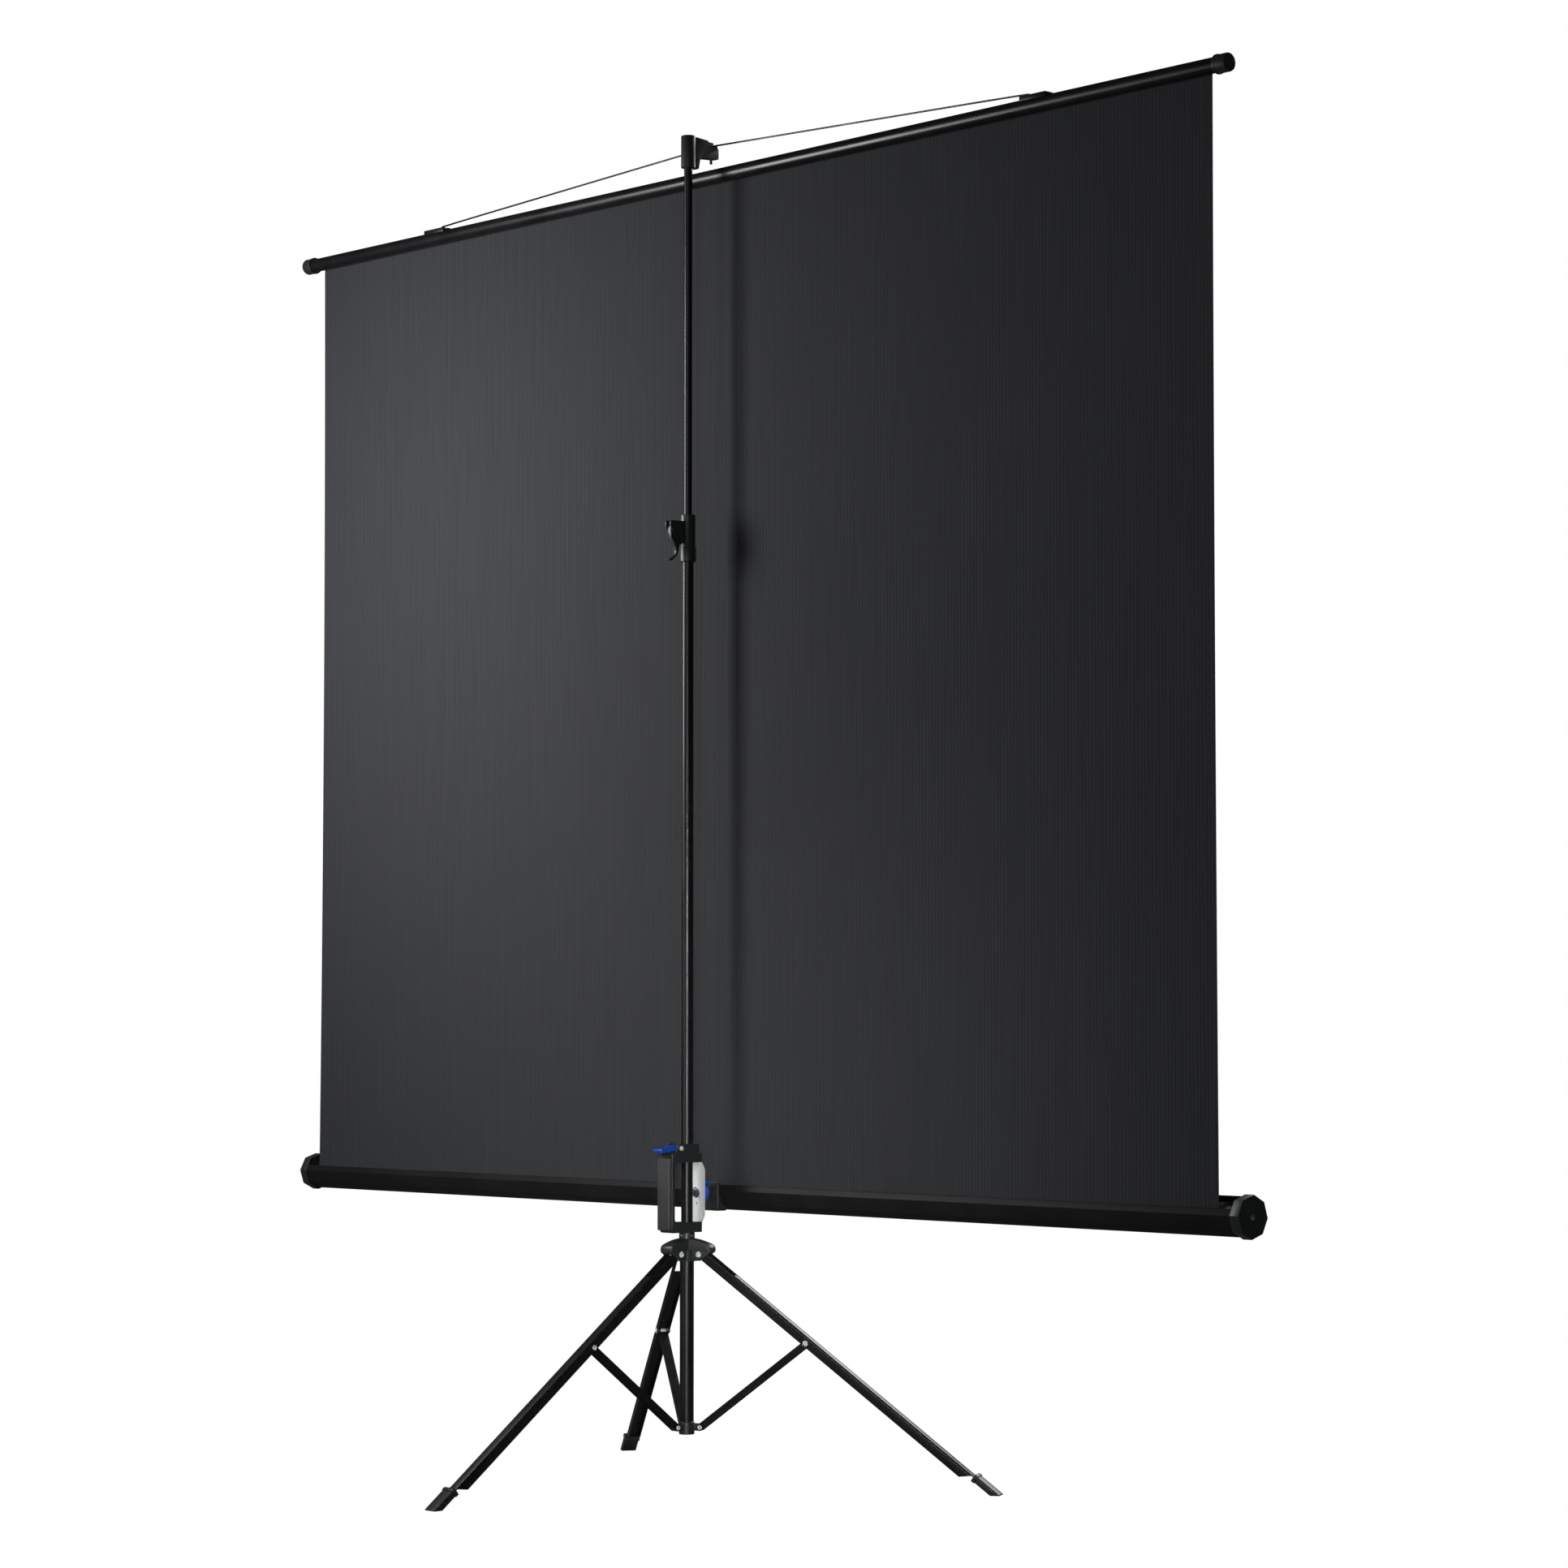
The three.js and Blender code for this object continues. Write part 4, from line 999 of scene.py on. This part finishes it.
@dataclass
class Carrier:
    """Sliding carrier: frame, grip, levers, bracket and saddle."""

    shop: Shop
    half: float = 13.8
    low: float = 373.3
    front: float = -18.2
    grip: float = 48.2
    grip_in: float = 35.5
    window: Point2 = (388.4, 477.3)
    top: float = 505.0
    lever: Point2 = (23.3, 498.6)
    lever_half: float = 10.0
    case: Point2 = (-77.4, 431.6)
    ribs: int = 7
    rib_tall: float = 0.45
    mast_bore: float = 11.3
    plate: float = 2.0
    plate_half: float = 10.8
    bolt: float = 3.0
    saddle_half: float = 17.0

    def build(self) -> None:
        """Model the carrier's pieces."""
        self.build_frame()
        self.build_grip()
        self.build_lever()
        self.build_bracket()
        self.build_ring()
        self.build_saddle()
        repaint(PLASTIC, "upper_bush", "lower_bush", "brake_shoe")

    def build_frame(self) -> None:
        """Model the moulded frame with its lever slot and mast bore."""
        shop = self.shop
        low, high = self.window
        ly, lz = self.lever
        pad, front, top, inner = self.grip - 6.5, self.front + 6.5, self.top, self.grip_in
        outline = [(self.front, self.low), (pad - 2.5, self.low), (pad, self.low + 2.5), (pad, high + 14),
                   (ly + 12, high + 14), (ly + 7.5, lz - 1.0), (ly + 6, lz + 3.6), (ly + 3, lz + 6.2),
                   (ly, lz + 7), (ly - 6, top), (front, top), (front, top - 15), (self.front, top - 15),
                   (self.front, high),
                   (inner - 5, high), (inner - 1.5, high - 1.5), (inner, high - 5), (inner, low + 5),
                   (inner - 1.5, low + 1.5), (inner - 5, low), (self.front, low)]
        body = shop.bevel(shop.slab(outline, self.half, "carrier_body"), 0.9, 3)
        shop.cut(body, shop.rod(self.mast_bore, 200.0, Shop.lift(340.0), 48))
        slot = box_outline(ly - 6.6, self.grip + 20, high + 10.5, top + 20)
        shop.cut(body, shop.slab(slot, self.lever_half + 0.4))
        shop.cut(body, shop.slab(box_outline(6.0, ly - 4.0, high + 12.2, top - 1.5), 4.4))
        shop.dress(body, PLASTIC, "carrier", "carrier_frame")
        pin = shop.rivet("lever_rivet", self.half + GAP, 2.2, (3.8, 1.2), ly, lz)
        shop.dress(pin, RIVET, "carrier", "lever_pin")

    def build_grip(self) -> None:
        """Model the grip pad with upright ribs on its rear face."""
        inner = self.grip - 6.2
        outline: Outline = [(-self.half, inner)]
        count = self.ribs * 8
        for k in range(count + 1):
            x = -self.half + 2.0 * self.half * k / count
            edge = max(0.0, abs(x) - (self.half - 3.0))
            rib = self.rib_tall * abs(math.sin(math.pi * self.ribs * k / count))
            outline.append((x, self.grip - self.rib_tall + rib - edge * edge * 0.28))
        outline.append((self.half, inner))
        low, high = self.low + 4.0, self.window[1] + 7.0
        piece = self.shop.prism(outline, high - low, Shop.lift(low), "grip_ribs")
        self.shop.dress(self.shop.bevel(piece, 1.4, 3, 60.0), GRIP, "carrier", "grip_pad")

    def build_lever(self) -> None:
        """Model the blue release lever with a thumb hollow."""
        shop = self.shop
        ly, lz = self.lever
        tip = self.grip + 10.8
        blade = [(ly - 4.5, lz - 3.2), (ly, lz - 5.6), (ly + 6, lz - 3.6), (ly + 20, lz - 5.4),
                 (tip - 3, lz - 7), (tip, lz - 5), (tip, lz - 1.6), (tip - 3, lz), (ly + 26, lz + 0.6),
                 (ly + 20, lz + 2.2), (ly + 8, lz + 4.8), (ly, lz + 5.4), (ly - 4.5, lz + 2.6)]
        piece = shop.bevel(shop.slab(blade, self.lever_half, "release_thumb_lever"), 1.0, 3)
        shop.cut(piece, shop.rod(2.5, 30.0, Shop.side(-15.0, ly, lz), 24))
        shop.dress(piece, BLUE, "release_lever_body", "release_lever")

    def build_bracket(self) -> None:
        """Model the folded zinc bracket, its bolt and its small hole."""
        shop = self.shop
        back, z, plate, half = self.front - GAP, self.case[1], self.plate, self.plate_half
        web = box_outline(back - plate, back, self.low + 5, self.window[1] + 9)
        piece = shop.slab(web, half, "zinc_bracket")
        flange = moved([(0, -46), (-2, -46), (-8, -34), (-8, 34), (-2, 46), (0, 46)], back, z)
        for start in (half - plate, -half):
            shop.add(piece, shop.prism(flange, plate, Shop.side(start)))
        shop.bevel(piece, 0.5, 3)
        for radius, drop, steps in ((self.bolt + GAP, 0.0, 24), (2.0, 16.0, 20)):
            shop.cut(piece, shop.rod(radius, 10.0, Shop.rear(back - 6.0, z - drop), steps))
        shop.dress(piece, ZINC, "carrier", "pivot_bracket")
        r = self.bolt
        shaft = [(0.0, -28.0), (r, -28.0), (r, 0.35), (8.0, 0.35), (8.0, 1.0), (7.6, 1.3), (0.0, 1.3)]
        bolt = shop.turned(shaft, Shop.rear(back, z), 32, "pivot_bolt_shaft")
        corners = [(6.6 * math.cos(math.pi * k / 3), 6.6 * math.sin(math.pi * k / 3)) for k in range(6)]
        shop.add(bolt, shop.bevel(shop.prism(corners, 2.0, Shop.rear(back + 1.1, z)), 0.5))
        shop.dress(bolt, STEEL, "carrier", "pivot_bolt")

    def build_ring(self) -> None:
        """Model the blue swivel lock ring with its thumb lip."""
        shop = self.shop
        back = self.front - 8.6
        z = self.case[1]
        profile = [(3.4, -5.2), (14.9, -5.2), (15.7, -4.4), (15.7, -0.8), (14.9, 0.0), (12.4, 0.0),
                   (11.6, -0.7), (6.0, -0.7), (3.4, -0.7)]
        ring = shop.turned(profile, Shop.rear(back, z), 64, "swivel_lock_ring")
        lip = [(-0.3, 11), (-0.3, 15.6), (-1.2, 16.4), (-11, 16.4), (-12, 15.6), (-12, 13.2), (-5.0, 12),
               (-5.0, 11)]
        shop.add(ring, shop.bevel(shop.slab(moved(lip, back, z), 8.0), 0.7, 3))
        shop.dress(ring, BLUE, "swivel_lock_body", "swivel_lock")

    def build_saddle(self) -> None:
        """Model the saddle that hugs the case and its pivot boss."""
        shop = self.shop
        z = self.case[1]
        case = RollerCase(shop)
        skin = case.radius + 0.4 / math.cos(math.pi / 8)
        low, foot = case.corner(-45, skin), case.corner(-90, skin)
        under = (low[0] + (foot[0] - low[0]) * 0.4, low[1] + (foot[1] - low[1]) * 0.4)
        lip = case.on_lip(skin, case.lip)[0] + 0.4
        outline = [(-46.5, z - 28), (-46.5, z + 14), (lip, z + 14), (lip, z + 11), case.on_lip(skin, 10.0),
                   case.corner(0, skin), low, under, (under[0], z - 28)]
        body = shop.bevel(shop.slab(outline, self.saddle_half, "case_cradle"), 0.9, 3)
        ring = self.front - 8.6 - 5.2 - GAP
        boss = [(0.0, -47.5), (10.0, -47.5), (10.0, ring - 0.6), (9.4, ring), (0.0, ring)]
        shop.add(body, shop.turned(boss, Shop.rear(0.0, z), 40))
        shop.cut(body, shop.rod(self.bolt + GAP, 30.0, Shop.rear(-48.5, z), 24))
        shop.dress(body, PLASTIC, "carrier", "case_saddle")


@dataclass
class Tripod:
    """Hub, legs, struts, spreader collar and feet."""

    shop: Shop
    angle: float = 52.2
    arm: float = 209.0
    pivot: float = 22.6
    hub: float = 341.0
    bore: float = 10.8
    collar: float = 84.804
    lug: float = 5.2
    leg_half: float = 9.5
    leg_wall: float = 1.5
    leg_out: float = 9.5
    leg_in: float = 5.0
    leg_bend: float = 3.0
    shoe: Point2 = (3.5, 13.5)
    strut_half: float = 6.3
    strut_deep: float = 5.2
    strut_wall: float = 1.3
    dome: float = 43.0
    cheek: float = 13.0
    arm_inset: float = 0.05
    tool_half: float = 15.0

    @property
    def lean(self) -> float:
        """The spread leg's lean from the upright, in radians."""
        return math.radians(self.angle)

    @property
    def leg_axes(self) -> Matrix:
        """Axes at the rear leg's pivot, with +Z up along the leg."""
        return Shop.tilted(self.pivot, self.hub, self.angle)

    def build(self) -> None:
        """Model the hub and collar once, and each spoke's pieces."""
        shop = self.shop
        self.build_hub()
        self.build_collar()
        made = [
            (self.build_leg(), "leg", PAINT), (self.build_foot(), "foot", PLASTIC),
            (self.build_strut(), "strut", PAINT),
            (shop.rivet("knee_rivet", self.leg_half + GAP, 2.6, (4.2, 1.4), 0.0, -self.arm, self.leg_axes),
             "knee_pin", RIVET),
            (shop.rivet("hub_rivet", self.cheek + GAP, 2.6, (4.4, 1.8), self.pivot, self.hub),
             "hub_pin", RIVET),
            (shop.rivet("collar_rivet", self.strut_half + 0.2, 2.3, (3.6, 1.3), self.pivot, self.collar),
             "collar_pin", RIVET),
        ]
        for piece, word, finish in made:
            for spoke in Spoke:
                copy = shop.copy(piece, f"{piece.name}_{spoke.word}", spoke.turn)
                bodies = {"strut": f"strut_{spoke.word}_body", "hub_pin": "base", "collar_pin": "collar"}
                shop.dress(copy, finish, bodies.get(word, f"leg_{spoke.word}_body"), f"{word}_{spoke.word}")
            bpy.data.objects.remove(piece, do_unlink=True)
        repaint(STEEL, "guide_rod")

    def build_hub(self) -> None:
        """Model the domed hub with three forked arms."""
        shop = self.shop
        z, d, bore = self.hub, self.dome, self.bore
        wall = self.pivot - self.leg_out - 0.5
        profile = [(bore, -11), (wall, -11), (wall, 5.2), (d - 6.5, 5.2), (d - 5.6, 3.2), (d - 4.4, 2.1),
                   (d - 2.6, 1.9), (d - 1.1, 2.6), (d - 0.2, 4.2), (d, 6.5), (d - 0.2, 9.0), (d - 0.9, 11.2),
                   (d - 2.3, 13.0), (d - 5.0, 14.8), (d * 0.76, 17.0), (d * 0.6, 19.6), (d * 0.47, 21.3),
                   (wall + 2.0, 22.6), (wall, 23), (bore, 23)]
        hub = shop.turned(moved(profile, 0, z), Matrix(), 72, "tripod_hub")
        arm = [(11.6, z - 9.5), (self.pivot + 2, z - 9.5), (d - 5, z + 1), (d - 5, z + 6), (11.6, z + 6)]
        far = d + 20
        sweep = self.pivot + self.leg_out + 1.2

        def rest(r: float) -> float:
            """Height just over the spread leg at a radius."""
            return z + (self.leg_out + 0.7 - (r - self.pivot) * math.cos(self.lean)) / math.sin(self.lean)

        roof = z + self.leg_out + 0.8
        room = [(wall, z - 30), (far, z - 30), (far, rest(far)), (sweep, rest(sweep)), (sweep, roof),
                (wall, roof)]
        lobes = shop.rod(wall, 80.0, Shop.lift(z - 30), 48)
        for spoke in Spoke:
            shop.add(lobes, shop.slab(box_outline(0.0, far, z - 30, z + 40), self.cheek, axes=spoke.turn))
        shop.combine(hub, lobes, "INTERSECT")
        shop.bevel(hub, 0.8, 3)
        # The arms end a hair inside the cheeks, because faces in one plane can break a boolean.
        half = self.cheek - self.arm_inset
        for spoke in Spoke:
            shop.add(hub, shop.bevel(shop.slab(arm, half, axes=spoke.turn), 0.7))
        for spoke in Spoke:
            shop.cut(hub, shop.slab(room, self.leg_half + 0.4, axes=spoke.turn))
        shop.cut(hub, shop.rod(bore, 80.0, Shop.lift(z - 30), 48))
        shop.dress(hub, PLASTIC, "base", "hub")

    def build_collar(self) -> None:
        """Model the spreader collar with three lugs."""
        shop = self.shop
        z, r = self.collar, self.lug
        profile = [(7.8, -11), (10.8, -11), (11.6, -10.2), (11.6, 7.2), (10.8, 8), (7.8, 8)]
        ring = shop.turned(moved(profile, 0, z), Matrix(), 48, "spreader_ring")
        half = self.strut_half - self.strut_wall - 0.4
        turns = [k * math.pi / 8 for k in range(9)]
        lug = [(9.4, z + r), (9.4, z - r)]
        lug += [(self.pivot + r * math.sin(a), z - r * math.cos(a)) for a in turns]
        for spoke in Spoke:
            shop.add(ring, shop.bevel(shop.slab(lug, half, axes=spoke.turn), 0.4))
        shop.dress(ring, PLASTIC, "collar", "spreader_collar")

    def build_leg(self) -> Piece:
        """Model one leg as a folded channel.

        Returns:
            The leg.
        """
        shop, axes = self.shop, self.leg_axes
        h, w, out, inside, bend = self.leg_half, self.leg_wall, self.leg_out, -self.leg_in, self.leg_bend
        end = (self.hub + out * math.sin(self.lean)) / math.cos(self.lean) - 16.0
        head = 6.5
        turns = [k * math.pi / 12 for k in range(7)]
        section = [(-h, inside), (-h + w, inside), (-h + w, out - w), (h - w, out - w), (h - w, inside),
                   (h, inside)]
        section += [(h - bend + bend * math.cos(a), out - bend + bend * math.sin(a)) for a in turns]
        section += [(-h + bend - bend * math.sin(a), out - bend + bend * math.cos(a)) for a in turns]
        leg = shop.prism(section, -(end + head), axes @ Shop.lift(head), "leg_channel")
        shop.bevel(leg, 0.3)
        flange_end = end - 31.0
        slant = [(inside - 3, -(flange_end - 17)), (out - w, -flange_end), (out - w, -(end + 6)),
                 (inside - 3, -(end + 6))]
        shop.cut(leg, shop.slab(slant, self.tool_half, axes=axes))
        shop.cut(leg, shop.slab(box_outline(-6.5, out + 3.0, -62.0, 12.0), h - w, axes=axes))
        nose = [(-6, 7), (-6, 1.0), (-4.9, 1.0), (-3.5, 4.6), (0, 6.4), (4.5, 6.4), (8, 4), (9.4, -2),
                (11, -2), (11, 8), (-6, 8)]
        shop.cut(leg, shop.slab(nose, self.tool_half, axes=axes))
        return leg

    def build_foot(self) -> Piece:
        """Model one shoe with its ridge and its pocket for the leg.

        Returns:
            The shoe.
        """
        shop, axes = self.shop, self.leg_axes

        def sole(q: float) -> float:
            """Depth of the floor along the leg at a distance from its pivot line."""
            return -(self.hub + q * math.sin(self.lean)) / math.cos(self.lean)

        out, (near, far) = self.leg_out, self.shoe
        top, half = sole(out) + 42.0, self.leg_half + 1.9
        body = [(near, top), (near, sole(near)), (far - 1, sole(far - 1)), (far, sole(far) + 3), (far, top)]
        shoe = shop.bevel(shop.slab(body, half, "leg_shoe", axes), 2.2, 4)
        ridge = box_outline(near - 1.2, far + 1.2, top - 5, top + 1.5)
        shop.add(shoe, shop.bevel(shop.slab(ridge, half + 1.2, axes=axes), 1.4, 3))
        pocket = box_outline(out - self.leg_wall - GAP, out + GAP, sole(out) + 15.7, top + 9)
        shop.cut(shoe, shop.slab(pocket, self.leg_half + GAP, axes=axes))
        return shoe

    def build_strut(self) -> Piece:
        """Model one strut as a narrow channel with open, rounded ends.

        Returns:
            The strut.
        """
        shop = self.shop
        knee_y = self.pivot + self.arm * math.sin(self.lean)
        knee_z = self.hub - self.arm * math.cos(self.lean)
        axes = Shop.tilted(knee_y, knee_z, -self.angle)
        h, d, w = self.strut_half, self.strut_deep, self.strut_wall
        head = 4.6
        end, reach = self.arm - 8.2, self.arm + head
        section = [(-h, d), (-h, -d), (h, -d), (h, d), (h - w, d), (h - w, -d + w), (-h + w, -d + w),
                   (-h + w, d)]
        strut = shop.prism(section, -(reach + head), axes @ Shop.lift(head), "strut_channel")
        shop.bevel(strut, 0.5)
        for low, high in ((-9.0, 8.0), (-reach - 3.0, -end)):
            shop.cut(strut, shop.slab(box_outline(-d - 1, d + 1, low, high), h - w, axes=axes))
        round_off = [(d + 1, 0.4), (d, 1), (4.4, 3), (3, 4.3), (1.6, 6), (d + 1, 6)]
        for side in Side:
            for at, out in ((0.0, 1.0), (-self.arm, -1.0)):
                corner = [(side.value * q, at + out * s) for q, s in round_off]
                shop.cut(strut, shop.slab(corner, self.tool_half, axes=axes))
        return strut


@dataclass
class Studio:
    """Floor, white backdrop, soft lights and the camera."""

    place: Point3 = (-4.60416, 3.94097, 0.70955)
    yaw: float = 47.264
    pitch: float = 3.112
    lens: float = 93.93
    sensor: float = 36.0
    floor: Point3 = (0.12, 0.12, 0.12)
    dim: float = 0.03

    def build(self) -> None:
        """Make the stage."""
        self.build_floor()
        self.build_world()
        self.light("key", (1.0, 1.0, 1.6), (0.45, -0.19, 1.35), (0.5, 0.9), 14.0, spread=120.0)
        self.light("fill", (-4.7, 4.3, 0.95), (0.0, -0.12, 0.45), (0.4, 0.4), 1.5, spread=14.0)
        self.light("strip", (-3.4, 4.6, 1.3), (0.0, -0.1, 1.1), (0.25, 3.0), 40.0, 0.06)
        self.light("kick", (0.6, 3.2, 0.5), (-0.1, 0.0, 0.2), (1.0, 0.8), 8.0, 0.3)
        self.light("front", (0.5, -4.0, 3.0), (0.0, 0.0, 1.0), (3.0, 3.0), 140.0)
        self.build_camera()
        bpy.context.scene.view_settings.view_transform = "Standard"

    def build_floor(self) -> None:
        """Make the floor, white for the camera and dull for the light."""
        Shop.begin()
        bpy.ops.mesh.primitive_plane_add(size=60.0, location=(0.0, 0.0, -0.0005))
        floor = bpy.context.object
        floor.name = "floor"
        nodes = Nodes("pale_floor")
        nodes.feed(nodes.shader, {"Base Color": (*self.floor, 1.0), "Roughness": 0.9})
        path = nodes.add("ShaderNodeLightPath")
        glow = nodes.add("ShaderNodeEmission", {"Strength": 1.0})
        ends = (path.outputs["Is Camera Ray"], nodes.shader.outputs[0], glow.outputs[0])
        mix = nodes.add("ShaderNodeMixShader", dict(enumerate(ends)))
        nodes.feed(nodes.tree.nodes["Material Output"], {"Surface": mix.outputs[0]})
        nodes.material.cycles.emission_sampling = "NONE"
        floor.data.materials.append(nodes.material)

    def build_world(self) -> None:
        """Make the world white for the camera and dim for the light."""
        world = bpy.context.scene.world or bpy.data.worlds.new("studio")
        bpy.context.scene.world = world
        world.use_nodes = True
        tree = world.node_tree
        tree.nodes.clear()
        end = tree.nodes.new("ShaderNodeOutputWorld")
        path = tree.nodes.new("ShaderNodeLightPath")
        mix = tree.nodes.new("ShaderNodeMixShader")
        for slot, strength in ((1, self.dim), (2, 1.0)):
            sky = tree.nodes.new("ShaderNodeBackground")
            sky.inputs["Color"].default_value = (1.0, 1.0, 1.0, 1.0)
            sky.inputs["Strength"].default_value = strength
            tree.links.new(sky.outputs[0], mix.inputs[slot])
        tree.links.new(path.outputs["Is Camera Ray"], mix.inputs[0])
        tree.links.new(mix.outputs[0], end.inputs["Surface"])

    @staticmethod
    def light(name: str, place: Point3, aim: Point3, size: Point2, watts: float, diffuse: float = 1.0,
              spread: float = 180.0) -> None:
        """Add a soft area light.

        Args:
            name: The light's name.
            place: Where it stands.
            aim: Where it points.
            size: Its width and height.
            watts: Its power.
            diffuse: Share of its light on matt surfaces.
            spread: Angle its light fans out by, in degrees.
        """
        Shop.begin()
        bpy.ops.object.light_add(type="AREA", location=place)
        lamp = bpy.context.object
        lamp.name = name
        lamp.data.shape = "RECTANGLE"
        lamp.data.size, lamp.data.size_y = size
        lamp.data.energy = watts
        lamp.data.diffuse_factor = diffuse
        lamp.data.spread = math.radians(spread)
        lamp.rotation_mode = "QUATERNION"
        lamp.rotation_quaternion = (Vector(aim) - Vector(place)).to_track_quat("-Z", "Y")

    def build_camera(self) -> None:
        """Make the camera at the photograph's place."""
        Shop.begin()
        bpy.ops.object.camera_add(location=self.place)
        camera = bpy.context.object
        camera.data.lens = self.lens
        camera.data.sensor_width = self.sensor
        yaw, pitch = math.radians(self.yaw), math.radians(self.pitch)
        aim = Vector((math.sin(yaw) * math.cos(pitch), -math.cos(yaw) * math.cos(pitch), math.sin(pitch)))
        camera.rotation_mode = "QUATERNION"
        camera.rotation_quaternion = aim.to_track_quat("-Z", "Y")
        camera.data.clip_end = 200.0
        bpy.context.scene.camera = camera


def main() -> None:
    """Build every sub-assembly and the studio."""
    logging.basicConfig(level=logging.INFO, format="%(name)s: %(message)s")
    shop = Shop()
    Studio().build()
    for assembly in (Screen, RollerCase, TopBar, Mast, Carrier, Tripod):
        assembly(shop).build()


if __name__ == "__main__":
    main()
